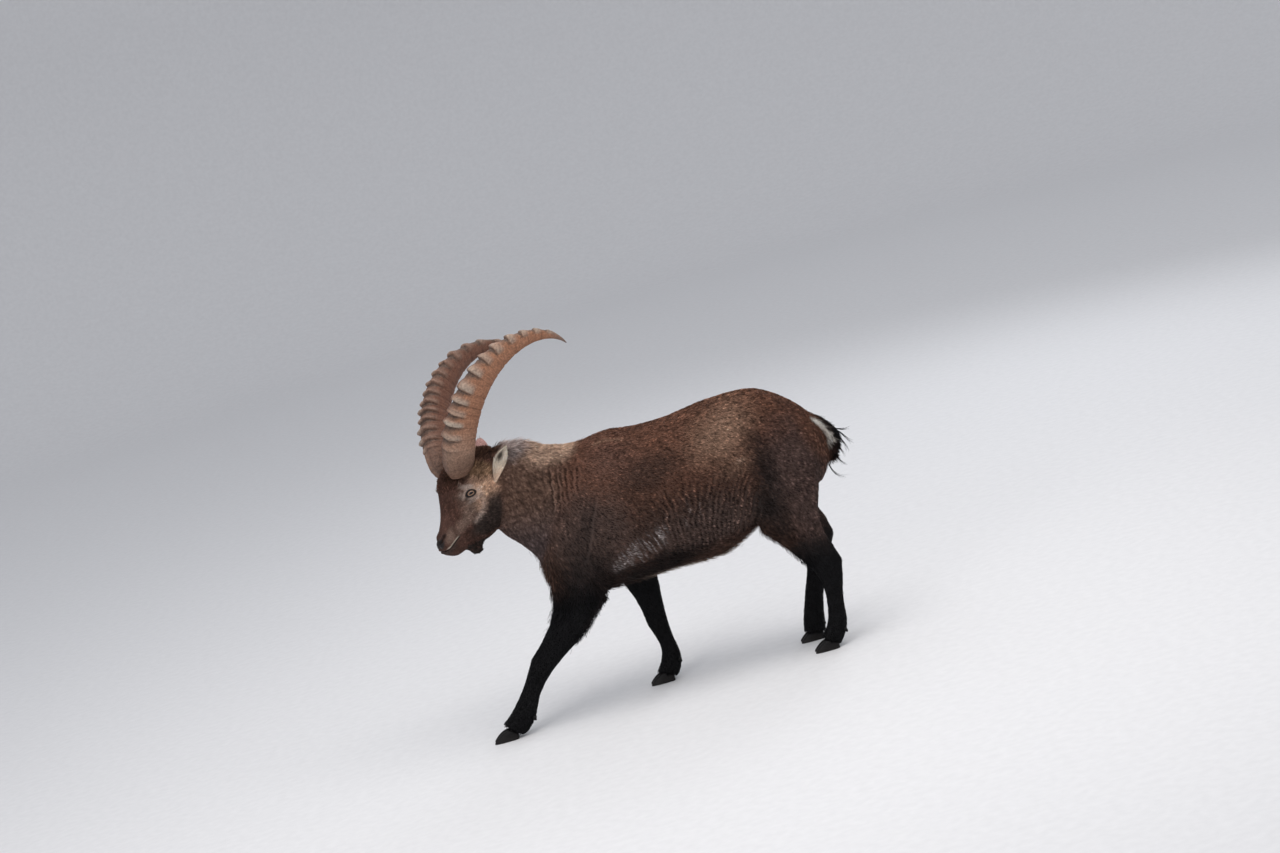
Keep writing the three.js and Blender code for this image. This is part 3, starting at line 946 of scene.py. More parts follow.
class HairMap:
    """Where the coat grows, how it lies and how long it is, at each point of the skin."""

    def __init__(self, mesh: Mesh, masks: dict[Part, Array]) -> None:
        """Keeps the skin's points and normals.

        Args:
            mesh: The skin.
            masks: The share of each part at each point.
        """
        self.points = positions(mesh)
        self.outwards = fetched(mesh.vertex_normals, "vector", 3).astype(float)
        self.ear_inside = numbers(mesh, "EarInside")
        self.ear_hollow = numbers(mesh, "EarHollow")
        self.masks = masks
        self.local = HEAD.folded(self.points)
        self.place = self.points / MM
        self.aside = np.abs(self.place[:, 1] - MIDDLE)

    def directions(self) -> Array:
        """The way that the hair points at each point of the skin."""
        total = np.zeros_like(self.points)
        lies = list(BODY_LIES)
        for joints in LEGS.values():
            for start, end in zip(joints[:-1], joints[1:]):
                lies.append(Lie(start, end, 34.0))
        for lie in lies:
            far = to_line(self.place, (lie.start, lie.end)) / lie.reach
            total += unit(np.array(lie.end, dtype=float) - lie.start) / (0.15 + far[:, None] ** 4)
        total = unit(total)
        droop = (self.masks[Part.TRUNK] + 0.6 * self.masks[Part.NECK]) * np.sqrt(1.0 - self.outwards[:, 2] ** 2)
        total[:, 2] -= 0.55 * droop * smoothstep(self.place[:, 2], 380, 520)
        total = self.over_head(total)
        flat = total - self.outwards * np.sum(total * self.outwards, axis=1, keepdims=True)
        return unit(flat)

    def over_head(self, total: Array) -> Array:
        """The lie on the head and ears: up from the nose, back over the cheeks, out to the tips.

        Args:
            total: The lie on the body.

        Returns:
            The lie on the whole animal.
        """
        x, _, z = self.local.T
        side = np.sign(HEAD.local(self.points)[:, 1])
        face = filled((0.84, 0.0, 0.54), len(x))
        face = mixed(face, (0.95, 0.0, -0.3), smoothstep(-z, 40, 110) * smoothstep(x, -215, -150))
        face = mixed(face, (0.9, 0.0, -0.45), smoothstep(-z, 150, 185))
        brow = bell(np.sqrt(((x + 120) / 26) ** 2 + ((z + 22) / 24) ** 2))
        face = mixed(face, unit(rows(x + 132, 0.0, z + 24) + 1e-3), 0.7 * brow)
        face = mixed(face, (0.8, 0.0, 0.55), smoothstep(z, 62, 96) * smoothstep(x, -110, -60))
        face[:, 1] += 0.15 * side
        total = mixed(total, HEAD.turned(unit(face)), self.masks[Part.HEAD])
        left, right = (unit(np.array(EARS[name].points)) for name in ("left", "right"))
        ear = np.where(side[:, None] < 0, left, right * np.array([1.0, -1.0, 1.0]))
        return mixed(total, HEAD.turned(ear), self.masks[Part.EAR])

    def depth(self) -> Array:
        """How far the skin lies inside the coat's tips, in millimetres."""
        x, _, z = self.place.T
        m = self.masks
        deep = sum(depth * m[part] for part, depth in COAT_DEPTHS.items())
        deep += 3.0 * m[Part.NECK] * smoothstep(z, 850, 930)  # deeper along the crest
        low_thigh = smoothstep(x, 250, 350) * smoothstep(-z, -560, -430) * (1 - m[Part.LEG])
        poll = smoothstep(self.local[:, 2], 55, 90) * smoothstep(self.local[:, 0], -90, -55) * m[Part.HEAD]
        return (deep * (1 - 0.5 * low_thigh) + 4.0 * poll) * (1.0 - m[Part.EAR])


NECK_CREASES = (-274, -256, -241, -221, -203, -184)  # along the body, at the height of 790 mm


def flank_slope(x: Array) -> Array:
    """How far the wrinkles of the flank lean back for each step up, fanning out from the elbow."""
    return -0.25 + 0.72 * smoothstep(x, -60, 330)


def creases(place: Array, outwards: Array) -> Array:
    """Creases of the neck, the shoulder and the wrinkled lower flank.

    Args:
        place: Places in millimetres.
        outwards: The skin's normal at each.

    Returns:
        A height from about -1 to 1 at each place.
    """
    x, _, z = place.T
    flat = rows(x, z, 0.0)
    total = np.zeros(len(x))
    bend = 9.0 * noise(rows(z, 0.0, 0.0), 90.0, 2)
    wander = fractal(rows(x * 0.5, z * 0.8, 0.0), 42.0, 4)
    # Upright folds on the side of the neck.
    for k, start in enumerate(NECK_CREASES):
        line = start + (z - 790) * 0.12 + bend + 14 * wander + (5 * k) % 7
        here = smoothstep(z, 690 + 12 * k, 760) * fall(z, 820, 880 - 9 * k)
        total += (0.45 * bell((x - line - 8) / 4.2) - 1.6 * bell((x - line) / 3.4)) * here
    # Fine crimps low on the neck, and the crease before the shoulder.
    low_neck = smoothstep(x, -330, -270) * fall(x, -180, -110)
    low_neck *= smoothstep(z, 490, 560) * fall(z, 720, 790)
    crimps = np.sin((x - 0.45 * (z - 600) + 26 * wander) * 2 * np.pi / 15.0)
    total += 0.4 * crimps * low_neck * (0.6 + 0.8 * noise(flat, 30.0, 18))
    crease = -205 + (z - 600) * 0.5 + 0.8 * bend
    total -= 1.1 * bell((x - crease) / 5.0) * smoothstep(z, 480, 560) * fall(z, 690, 760)
    # Wrinkles that fan out over the lower flank.
    region = smoothstep(x, -60, 110) * fall(x, 340, 385)
    region *= smoothstep(z, 430, 490) * fall(z, 640, 720)
    fan = x - flank_slope(x) * (z - 560)
    ripple = np.sin((fan + 17 * wander) * 2 * np.pi / 18.0)
    ripple += 0.5 * np.sin((fan + 23 * wander) * 2 * np.pi / 11.5 + 2.0)
    total += 1.15 * ripple * region * (0.7 + 0.7 * noise(flat, 45.0, 8))
    # Shaggy hair over the shoulder and neck.
    shaggy = smoothstep(-x, 90, 220) * fall(z, 850, 920)
    lean = rows(x + 0.25 * z, z / 2.6, 0.0)
    total += 0.3 * (noise(lean, 5.0, 12) + 0.5 * noise(lean, 11.0, 13)) * shaggy
    return total * smoothstep(np.abs(outwards[:, 1]), 0.35, 0.7)


# Markings


class Tones:
    """Colours of the coat, as shares of light sent back."""

    back = (0.150, 0.068, 0.044)
    red = (0.180, 0.084, 0.053)
    flank = (0.074, 0.039, 0.028)
    low_flank = (0.086, 0.056, 0.047)
    dark = (0.018, 0.0125, 0.0115)
    black = (0.0044, 0.0041, 0.0050)
    thigh = (0.102, 0.064, 0.055)
    neck = (0.185, 0.110, 0.080)
    throat = (0.132, 0.096, 0.092)
    crest = (0.600, 0.410, 0.300)
    nape = (0.500, 0.410, 0.385)
    # painted sheen: a pale tan that stands for light glancing off the coat
    painted_sheen = (0.360, 0.225, 0.155)
    streak = (0.380, 0.335, 0.325)
    face = (0.094, 0.046, 0.034)
    curls = (0.052, 0.025, 0.016)
    gold = (0.300, 0.185, 0.110)
    tan = (0.560, 0.350, 0.240)
    cheek = (0.240, 0.160, 0.125)
    pale = (0.520, 0.410, 0.350)
    jaw = (0.048, 0.034, 0.029)
    beard = (0.030, 0.022, 0.019)
    nose = (0.015, 0.012, 0.012)
    # painted shade: the near black inside the nostrils and in the slit of the mouth
    nostril = (0.003, 0.0025, 0.0025)
    mouth = (0.012, 0.008, 0.008)
    white = (0.940, 0.880, 0.790)
    cream = (0.950, 0.810, 0.660)
    ear_back = (0.120, 0.070, 0.052)
    pink = (0.620, 0.360, 0.330)
    belly = (0.300, 0.230, 0.180)


@dataclass(frozen=True)
class Patch:
    """A marking with soft, ragged edges, in the side view, in millimetres."""

    tone: Tone
    place: Flat
    reach: Flat
    turn: float = 0.0
    strength: float = 1.0
    soft: float = 0.45
    ragged: float = 0.2

    def on(self, colours: Array, x: Array, z: Array, rough: Array, share: Array | float = 1.0) -> Array:
        """Lays the marking on the colours.

        Args:
            colours: What is there now.
            x: Places along.
            z: Places up.
            rough: Noise that breaks up its edge.
            share: How much of it takes at each place.

        Returns:
            The new colours.
        """
        u, v = turned_back(x - self.place[0], z - self.place[1], self.turn)
        far = np.sqrt((u / self.reach[0]) ** 2 + (v / self.reach[1]) ** 2) + self.ragged * rough
        weight = self.strength * fall(far, 1.0 - self.soft, 1.0 + self.soft)
        return mixed(colours, self.tone, weight * share)


TRUNK_PATCHES = (
    Patch(Tones.red, (330, 890), (330, 80), 4.0, 0.8),
    Patch(Tones.back, (60, 820), (230, 90), 6.0, 0.5, 0.6),
    Patch(Tones.red, (190, 780), (190, 80), 12.0, 0.35, 0.7),
    # painted sheen over the hip
    Patch(Tones.painted_sheen, (310, 815), (105, 66), 25.0, 0.68, 0.8),
    Patch(Tones.flank, (48, 755), (108, 50), 14.0, 0.9, 0.7),
    # a weaker painted sheen lower on the flank
    Patch(Tones.painted_sheen, (335, 705), (70, 34), 10.0, 0.3, 0.8),
    Patch(Tones.low_flank, (150, 520), (230, 90), 4.0, 0.85, 0.6),
    Patch(Tones.thigh, (515, 600), (110, 190), 0.0, 0.9, 0.5),
    Patch(Tones.thigh, (540, 440), (70, 110), -10.0, 0.9, 0.5),
    # painted shade in the fold before the thigh, this patch and the next
    Patch(Tones.dark, (418, 630), (36, 150), 6.0, 0.8, 0.8),
    Patch(Tones.dark, (388, 505), (46, 84), 10.0, 0.85, 0.6),
    Patch(Tones.low_flank, (-200, 610), (130, 140), 20.0, 0.75, 0.5),
    Patch(Tones.dark, (-250, 465), (115, 95), 10.0, 0.8, 0.55),
    Patch(Tones.dark, (-20, 438), (170, 42), 9.0, 0.95, 0.5),
    Patch(Tones.flank, (230, 440), (150, 34), 12.0, 0.6, 0.6),
    # painted shade along the crease before the shoulder
    Patch(Tones.dark, (-205, 629), (27, 84), -29.5, 0.5, 0.8),
    Patch(Tones.crest, (342, 714), (15, 7), 20.0, 0.45, 0.5),
    Patch(Tones.thigh, (-60, 815), (90, 60), 0.0, 0.3, 0.7),
    Patch(Tones.red, (600, 740), (34, 120), 14.0, 0.6, 0.6),
)
NECK_PATCHES = (
    Patch(Tones.back, (-215, 800), (52, 120), 12.0, 0.4, 0.5),
    Patch(Tones.crest, (-255, 915), (105, 52), -12.0, 0.9, 0.4),
    Patch(Tones.nape, (-372, 952), (38, 38), -10.0, 0.85, 0.6, 0.5),
)
FACE_PATCHES = (
    Patch(Tones.cheek, (-95, -45), (70, 66), 0.0, 0.78, 0.4),
    Patch(Tones.jaw, (-126, -84), (24, 15), -40.0, 0.35, 0.7),
    Patch(Tones.tan, (-68, -12), (50, 42), -10.0, 0.95, 0.45),
    Patch(Tones.tan, (-36, -8), (24, 30), 0.0, 0.3, 0.5),
    Patch(Tones.gold, (-66, 34), (50, 26), -14.0, 0.9, 0.45),
    Patch(Tones.tan, (-100, -62), (34, 22), 40.0, 0.6, 0.5, 0.5),
    Patch(Tones.cheek, (-160, -98), (52, 20), 42.0, 0.8, 0.5, 0.3),
    Patch(Tones.curls, (-150, 62), (52, 40), -30.0, 0.95, 0.35),
    Patch(Tones.curls, (-30, 92), (56, 30), 0.0, 0.95, 0.35),
    # painted shade under and behind the jaw, this patch and the next
    Patch(Tones.jaw, (-66, -128), (96, 40), 14.0, 0.95, 0.3),
    Patch(Tones.jaw, (-54, -98), (36, 46), 0.0, 0.9, 0.45),
    Patch(Tones.pale, (-155, -24), (9, 13), 8.0, 0.35, 0.6),
    Patch(Tones.pale, (-128, 1), (24, 7), -10.0, 0.8, 0.6),
    Patch(Tones.pale, (-112, -43), (30, 7), 14.0, 0.6, 0.6),
    Patch(Tones.pale, (-92, -22), (6, 15), -10.0, 0.5, 0.6),
    Patch(Tones.cheek, (-222, -120), (17, 8), 40.0, 0.45, 0.5),
    Patch(Tones.cheek, (-228, -140), (20, 13), 40.0, 0.75, 0.5),
)


STREAKS = (  # each with where its combed hairs begin to show and show fully
    (Patch(Tones.streak, (-37, 521), (100, 34), 20.0, 0.9, 0.5), -0.1, 0.45),
    (Patch(Tones.streak, (-106, 499), (50, 19), 38.0, 1.0, 0.6), -0.8, 0.2),
    (Patch(Tones.streak, (95, 575), (110, 42), 24.0, 0.3, 0.6), 0.0, 0.6),
)


def streaked(colours: Array, place: Array) -> Array:
    """Pale combed streaks behind the elbow.

    Args:
        colours: What is there now.
        place: Places in millimetres.

    Returns:
        The new colours.
    """
    x, _, z = place.T
    comb = noise(rows(x - (flank_slope(x) - 0.12) * (z - 520), z / 9.0, 0.0), 5.5, 5)
    rough = fractal(place, 40.0, 3)
    for patch, low, high in STREAKS:
        colours = patch.on(colours, x, z, rough, smoothstep(comb, low, high))
    return colours


SCAR = ((-112, 880), (-70, 884), (-14, 873))
WHITE_STRIPS = (((614, 764), (630, 746), (648, 712), (660, 680)), ((642, 718), (649, 694), (647, 668)))
CHEEK_EDGE = ((-90, -52), (-95, -75), (-109, -96), (-134, -115))
TEAR_LINE = ((-134, -26), (-144, -38))


class Markings:
    """The colours of the whole animal, from named patches on its parts."""

    def __init__(self, hair: HairMap) -> None:
        """Keeps where everything is."""
        self.hair = hair
        self.count = len(hair.points)
        self.rough = fractal(hair.points, 0.05, 3) + 0.6 * fractal(hair.points, 0.014, 9)

    def made(self) -> Array:
        """A colour for each point of the skin."""
        masks = self.hair.masks
        colours = mixed(self.trunk(), self.neck(), masks[Part.NECK])
        colours = self.with_legs(colours)
        for part, own in ((Part.TAIL, self.tail), (Part.HEAD, self.face), (Part.EAR, self.ears)):
            colours = mixed(colours, own(), masks[part])
        patchy = np.exp(0.16 * fractal(self.hair.points, 0.045, 17) + 0.12 * fractal(self.hair.points, 0.012, 23))
        return np.clip(colours * patchy[:, None], 0.003, 1.0)

    def trunk(self) -> Array:
        """Reddish brown above, greyer on the flank, dark along the belly's edge, pale beneath, with painted sheen over
        the hip and painted shade in the folds before the thigh and the shoulder.
        """
        x, y, z = self.hair.place.T
        colours = mixed(filled(Tones.back, self.count), Tones.flank, smoothstep(-z, -800, -600))
        for patch in TRUNK_PATCHES:
            colours = patch.on(colours, x, z, self.rough)
        scar = bell(to_line(rows(x, z), SCAR) / 2.2) * (y < -43)
        colours = mixed(colours, Tones.tan, 0.32 * scar)
        colours = mixed(colours, Tones.white, self.white_strip() * (z > 655))
        under = smoothstep(-self.hair.outwards[:, 2], 0.75, 0.95) * fall(self.hair.aside, 50, 95)
        under *= smoothstep(x, -120, 0) * smoothstep(-x, -430, -330)
        return mixed(colours, Tones.belly, 0.85 * under)

    def neck(self) -> Array:
        """Greyish brown, tan along the crest and grizzled at the nape."""
        x, _, z = self.hair.place.T
        colours = mixed(filled(Tones.neck, self.count), Tones.throat, smoothstep(-z, -800, -600))
        for patch in NECK_PATCHES:
            colours = patch.on(colours, x, z, self.rough)
        return colours

    def with_legs(self, colours: Array) -> Array:
        """Legs that darken to black, and black down the thigh's front edge.

        Args:
            colours: Those of the trunk and neck.

        Returns:
            The new colours.
        """
        x, _, z = self.hair.place.T
        fore = fall(x, 100, 250) > 0.5
        top = np.where(fore, 560.0, 440.0) + 26 * self.rough
        low = np.where(fore, 400.0, 290.0) + 16 * self.rough
        share = np.clip((top - z) / (top - low), 0.0, 1.0)
        leg = np.maximum(self.hair.masks[Part.LEG], share * self.near_legs())
        colours = mixed(colours, Tones.dark, leg * smoothstep(share, 0.0, 0.5))
        return mixed(colours, Tones.black, leg * smoothstep(share, 0.3, 0.9))

    def near_legs(self) -> Array:
        """1 where a point lies on the upper part of a leg, fading out on the trunk."""
        near = np.zeros(self.count)
        for joints in LEGS.values():
            near = np.maximum(near, fall(to_line(self.hair.place, joints[:3]), 60, 105))
        return near

    def tail(self) -> Array:
        """Black hairs, white beneath."""
        return mixed(filled(Tones.black, self.count), Tones.white, self.white_strip() * (self.hair.aside > 4))

    def white_strip(self) -> Array:
        """1 on the narrow white strips between the rump and the tail."""
        first, second = (to_line(self.hair.place[:, [0, 2]], strip) for strip in WHITE_STRIPS)
        return bell(np.minimum(first / 3.9, second / 2.5) ** 2)

    def face(self) -> Array:
        """Dark forehead and nose, tan round the eye and over the cheek, a jaw darkened with painted shade, black nose,
        and painted shade in the nostrils and along the mouth.
        """
        local = self.hair.local
        x, y, z = local.T
        flat = local[:, [0, 2]]
        rough = fractal(self.hair.points, 0.018, 31)
        brow = 0.5 * smoothstep(z - 0.6 * x, 130, 190) * smoothstep(y, -40, -15)
        colours = mixed(filled(Tones.face, self.count), Tones.curls, brow)
        for patch in FACE_PATCHES:
            colours = patch.on(colours, x, z, rough, smoothstep(-y, 6, 26))
        open_share, _, depth = EYE.measured(local)
        lip = bell(to_line(flat - np.array([-1.5, 3.6]), MOUTH) / 1.7)
        chin = bell(to_line(flat + np.array([0.0, 9.0]), MOUTH) / 6.0)
        layers = (
            (Tones.pale, 0.48 * bell(to_line(flat, CHEEK_EDGE) / 6.0) * (y < -35)),
            (Tones.curls, fall(-y, 10, 30) * smoothstep(z, 70, 90) * smoothstep(x, -140, -100)),
            (Tones.pale, 0.45 * (bell((open_share - 1.85) / 0.3) * (depth > 0))),
            (Tones.nose, fall(open_share, 1.3, 1.52) * (depth > 0)),
            (Tones.jaw, 0.9 * bell(to_line(flat, TEAR_LINE) / 3.2) * (y < -40)),
            (Tones.cream, 0.95 * lip * smoothstep(-x, 194, 206) * fall(-x, 242, 254)),
            (Tones.jaw, 0.7 * chin * smoothstep(-x, 206, 222)),
            (Tones.nose, self.bare()),
            # painted shade: near black in the nostril slits and along the slit of the mouth
            (Tones.nostril, bell(to_line(local, NOSTRIL) / 3.4)),
            (Tones.mouth, bell(to_line(flat, MOUTH) / 1.6) * smoothstep(-x, 188, 200)),
        )
        for tone, share in layers:
            colours = mixed(colours, tone, share)
        return colours

    def bare(self) -> Array:
        """Where the moist bare skin of the nose is."""
        x, _, z = self.hair.local.T
        pad = 0.95 * smoothstep(-x + 0.35 * (z + 140), 244, 253) * smoothstep(-z, 128, 142) * fall(-z, 164, 172)
        slit = bell(to_line(self.hair.local, NOSTRIL) / 4.5)
        return np.clip(np.maximum(pad, slit), 0.0, 1.0) * self.hair.masks[Part.HEAD]

    def ears(self) -> Array:
        """Tan outside with a darker edge, cream inside round a hollow darkened with painted shade."""
        right = HEAD.local(self.hair.points)[:, 1] > 0
        colours = mixed(filled(Tones.ear_back, self.count), Tones.pink, 0.85 * right)
        colours = mixed(colours, Tones.cream, self.hair.ear_inside)
        low = smoothstep(-self.hair.local[:, 2], -40, 0) * self.hair.ear_inside
        colours = mixed(colours, Tones.tan, 0.7 * low)
        # painted shade deep in the ear's hollow
        return mixed(colours, Tones.dark, np.clip(1.6 * self.hair.ear_hollow - 0.5, 0, 0.92))


# The skin


@dataclass
class Skin:
    """One skin over the head, neck, trunk, tail and legs, inside the coat's tips."""

    nodes: dict[str, Piece]
    voxel: float = 7.6 * MM
    grown: float = 0.8 * MM  # outwards before the net is made, so that neighbouring nodes join
    feet: float = 45 * MM  # below this height nothing is smoothed, so that the soles stay level
    sole: float = 30 * MM  # below this height nothing swells
    root_shade: float = 0.8  # painted shade: the skin's colour is darkened for the shade that the hair casts on it
    soft_rounds: int = 70
    blend_rounds: int = 14  # of the parts' shares
    fine_feet: float = 0.12  # below this height the net is finer
    fine_legs: float = 0.38  # below this height it is smoothed again after that

    def __post_init__(self) -> None:
        """Builds the skin from copies of the flesh nodes."""
        self.piece = self.closed_shape()
        self.soften()
        self.refine()
        self.mark_parts()
        self.add_ears()
        self.masks = self.part_masks()
        self.shape()
        self.dress()

    def closed_shape(self) -> Piece:
        """Joined copies of the flesh nodes, made one closed net."""
        piece = copied("skin", self.nodes["trunk"], *(self.nodes[name] for name in PART_OF))
        only(piece)
        swell = piece.modifiers.new("swell", "DISPLACE")
        swell.strength, swell.mid_level = self.grown, 0.0
        net = piece.modifiers.new("net", "REMESH")
        net.mode, net.voxel_size, net.use_smooth_shade = "VOXEL", self.voxel, True
        for modifier in ("swell", "net"):
            bpy.ops.object.modifier_apply(modifier=modifier)
        LOG.info("closed shape: %d points", len(piece.data.vertices))
        return piece

    def soften(self) -> None:
        """Rounds off the flat faces, most of all on the trunk."""
        mesh = self.piece.data
        self.mark_parts()
        part = self.parts()
        net = Net(mesh)
        free = np.select([part == Part.HEAD.value, part == Part.LEG.value], [0.35, 0.45], 1.0)
        free = net.relaxed(free, 12, keep=False)
        points = positions(mesh)
        move_to(mesh, net.relaxed(points, self.soft_rounds, free * ~(points[:, 2] < self.feet)))

    def mark_parts(self) -> None:
        """Stores for each point of the net which part it belongs to."""
        corners, faces, owner = [], [], []
        for name, part in PART_OF.items():
            mesh = self.nodes[name].data
            start = len(corners)
            corners += [v.co.copy() for v in mesh.vertices]
            for polygon in mesh.polygons:
                faces.append([start + v for v in polygon.vertices])
                owner.append(part.value)
        tree = BVHTree.FromPolygons(corners, faces)
        give_parts(self.piece.data, [owner[tree.find_nearest(v.co)[2]] for v in self.piece.data.vertices])

    def parts(self) -> Array:
        """The part of each point."""
        return fetched(self.piece.data.attributes[PART].data, "value", 1, np.int32)

    def refine(self) -> None:
        """Gives the head and feet a finer net, and the muzzle and the eyes a finer one still."""
        for level in range(3):
            points = positions(self.piece.data)
            inside = HEAD.folded(points)
            head = self.parts() == Part.HEAD.value
            eye = np.linalg.norm(inside - np.array(EYE.centre) - np.array(EYE.gaze) * 10.0, axis=1)
            muzzle = head & (inside[:, 0] < -178) & (inside[:, 2] < -95)
            chosen = (head | (points[:, 2] < self.fine_feet), muzzle | (head & (eye < 36)), head & (eye < 25))
            self.split(chosen[level])
            points = positions(self.piece.data)
            near = (HEAD.folded(points)[:, 0] < 40) | (points[:, 2] < self.fine_legs)
            move_to(self.piece.data, Net(self.piece.data).relaxed(points, 6, near & ~(points[:, 2] < self.feet)))
        LOG.info("refined: %d points", len(self.piece.data.vertices))

    def split(self, chosen: Array) -> None:
        """Cuts each face in four where all its points are chosen.

        Args:
            chosen: True for each of those points.
        """
        mesh = self.piece.data
        only(self.piece)
        mesh.vertices.foreach_set("select", chosen)
        mesh.edges.foreach_set("select", np.zeros(len(mesh.edges), dtype=bool))
        mesh.polygons.foreach_set("select", np.zeros(len(mesh.polygons), dtype=bool))
        bpy.ops.object.mode_set(mode="EDIT")
        bpy.ops.mesh.select_mode(type="VERT")
        bpy.ops.mesh.subdivide(number_cuts=1, smoothness=0.0)
        bpy.ops.object.mode_set(mode="OBJECT")

    def add_ears(self) -> None:
        """Joins the ears to the skin."""
        ears = []
        for side, sign in (("left", -1.0), ("right", 1.0)):
            points, faces, hollow, deep = EARS[side].made(sign)
            caps = faces[:, 2] == faces[:, 3]
            ear = mesh_object(f"ear_{side}_shape", points, faces[~caps])
            with_tip = bmesh.new()
            with_tip.from_mesh(ear.data)
            with_tip.verts.ensure_lookup_table()
            for a, b, c, _ in faces[caps]:
                with_tip.faces.new((with_tip.verts[a], with_tip.verts[b], with_tip.verts[c])).smooth = True
            with_tip.to_mesh(ear.data)
            with_tip.free()
            give_parts(ear.data, np.full(len(ear.data.vertices), Part.EAR.value))
            give_numbers(ear.data, "EarInside", hollow)
            give_numbers(ear.data, "EarHollow", deep)
            ears.append(ear)
        only(self.piece, *ears)
        bpy.ops.object.join()

    def part_masks(self) -> dict[Part, Array]:
        """The share of each part at each point, soft where two parts meet."""
        part, net = self.parts(), Net(self.piece.data)
        rounds = {kind: 0 if kind is Part.EAR else self.blend_rounds for kind in Part}
        return {kind: net.relaxed((part == kind.value).astype(float), rounds[kind], keep=False) for kind in Part}

    def shape(self) -> None:
        """Shapes the flesh, takes the skin in by the coat's depth and opens the eyes."""
        mesh = self.piece.data
        hair = HairMap(mesh, self.masks)
        points, outwards = hair.points, hair.outwards
        rise = -hair.depth() * MM
        folded = points / MM
        folded[:, 1] = -hair.aside
        body = 1.0 - self.masks[Part.HEAD] - self.masks[Part.EAR]
        for form in BODY_FORMS:
            rise += form.at(folded) * body
        for form in HEAD_FORMS:
            rise += form.at(hair.local) * self.masks[Part.HEAD]
        rise += 3.0 * MM * creases(hair.place, hair.outwards) * body
        rise += self.mouth(hair) * self.masks[Part.HEAD]
        rise += self.tendons(points) * self.masks[Part.LEG]
        rise = np.where(points[:, 2] < self.sole, np.minimum(rise, 0.0), rise)
        points = points + outwards * rise[:, None]
        move_to(mesh, self.with_lids(points))

    def mouth(self, hair: HairMap) -> Array:
        """The line of the mouth, the nostrils and the groove below the nose.

        Args:
            hair: The skin's points.

        Returns:
            A height for each, in metres.
        """
        x, y, z = hair.local.T
        gap = to_line(rows(x, z), MOUTH)
        ends = smoothstep(-x, 186, 200)
        total = (-4.2 * bell(gap / 1.9) + 1.5 * bell((gap - 5.5) / 2.6)) * ends
        slit = to_line(hair.local, NOSTRIL)
        total += -8.5 * bell(slit / 3.1) + 1.8 * bell((slit - 7.5) / 2.8)
        total += -2.4 * bell(y / 1.9) * smoothstep(-x, 250, 258) * smoothstep(-z, 120, 140) * (z > -176)
        return total * MM

    def tendons(self, points: Array) -> Array:
        """The hollow between bone and tendon on both sides of the lower legs.

        Args:
            points: The skin's points.

        Returns:
            A height for each, in metres.
        """
        total = np.zeros(len(points))
        x, y, z = points.T / MM
        for joints in LEGS.values():
            top, low = np.array(joints[2:4], dtype=float)
            middle = (top + low) / 2
            up = z - middle[2]
            span = np.abs(up) / (np.abs(top[2] - low[2]) * 0.36)
            slope = (low[0] - top[0]) / (low[2] - top[2])
            behind = x - middle[0] - up * slope - 5
            total -= 2.6 * bell(span) * bell(behind / 6.0) * (np.abs(y - middle[1]) < 45)
        return total * MM

    def with_lids(self, points: Array) -> Array:
        """Opens the skin over the eyeballs and lays lids round them.

        Args:
            points: The skin's points.

        Returns:
            Their new places.
        """
        side = np.where(HEAD.local(points)[:, 1] > 0, 1.0, -1.0)
        opened, gap, depth = EYE.measured(HEAD.folded(points))
        radius = np.linalg.norm(gap, axis=1)
        front = (depth > 1.0) & (radius < 34.0) & (self.masks[Part.HEAD] > 0.5)
        lid = EYE.radius + EYE.lid
        crease = 1.1 * bell((opened - 1.75) / 0.16) - 0.8 * bell((opened - 1.4) / 0.14)
        stand = lid + crease - 0.5 * smoothstep(opened, 2.0, 2.8)
        wanted = np.where(opened < 1.0, EYE.radius - 5.0, np.maximum(radius * (opened > 1.3), stand))
        fade = fall(opened, 1.9, 2.9)
        pull = np.where(opened < 1.0, 1.0, fade) * front
        moved = np.array(EYE.centre) + gap * ((radius + (wanted - radius) * pull) / radius)[:, None]
        moved[:, 1] *= -side
        return np.where(front[:, None], HEAD.placed(moved * MM), points)

    def dress(self) -> None:
        """Stores the markings and the unwrap, and finishes the piece."""
        mesh = self.piece.data
        self.hair = HairMap(mesh, self.masks)
        self.points, self.outwards = self.hair.points, self.hair.outwards
        markings = Markings(self.hair)
        self.colours, self.bare = markings.made(), markings.bare()
        # painted shade: the skin's markings are darkened for the hair's shade over them
        give_colours(mesh, MARKINGS, self.colours * self.root_shade)
        give_numbers(mesh, BARE, self.bare)
        mesh.uv_layers.new(name=BAKE_MAP)
        with editing(self.piece):
            bpy.ops.uv.smart_project(angle_limit=math.radians(66.0), island_margin=0.003)
        mesh.polygons.foreach_set("use_smooth", np.ones(len(mesh.polygons), dtype=bool))
        flesh = [name for name in PART_OF if not name.startswith("eye")]
        finished(self.piece, "coat", HideFinish().made(), *flesh, "ear_left", "ear_right")


# The coat


@dataclass(frozen=True)
class Growth:
    """How the hair grows in one part: sizes in millimetres, lift in degrees."""

    name: str
    count: int
    length: float
    width: float
    lift: float
    curl: float = 0.25
    rings: int = 1
    slot: str = "coat"
    vary: float = 0.26  # how much the brightness of the tufts differs
    grain: float = 0.75  # how much the brightness of whole clumps differs, and how strongly their painted light and shade shows
    creased: float = 0.0  # how much of the skin's creases shows in it: in the hair's lie, as painted light and shade, and as painted shade in the gaps between clumps
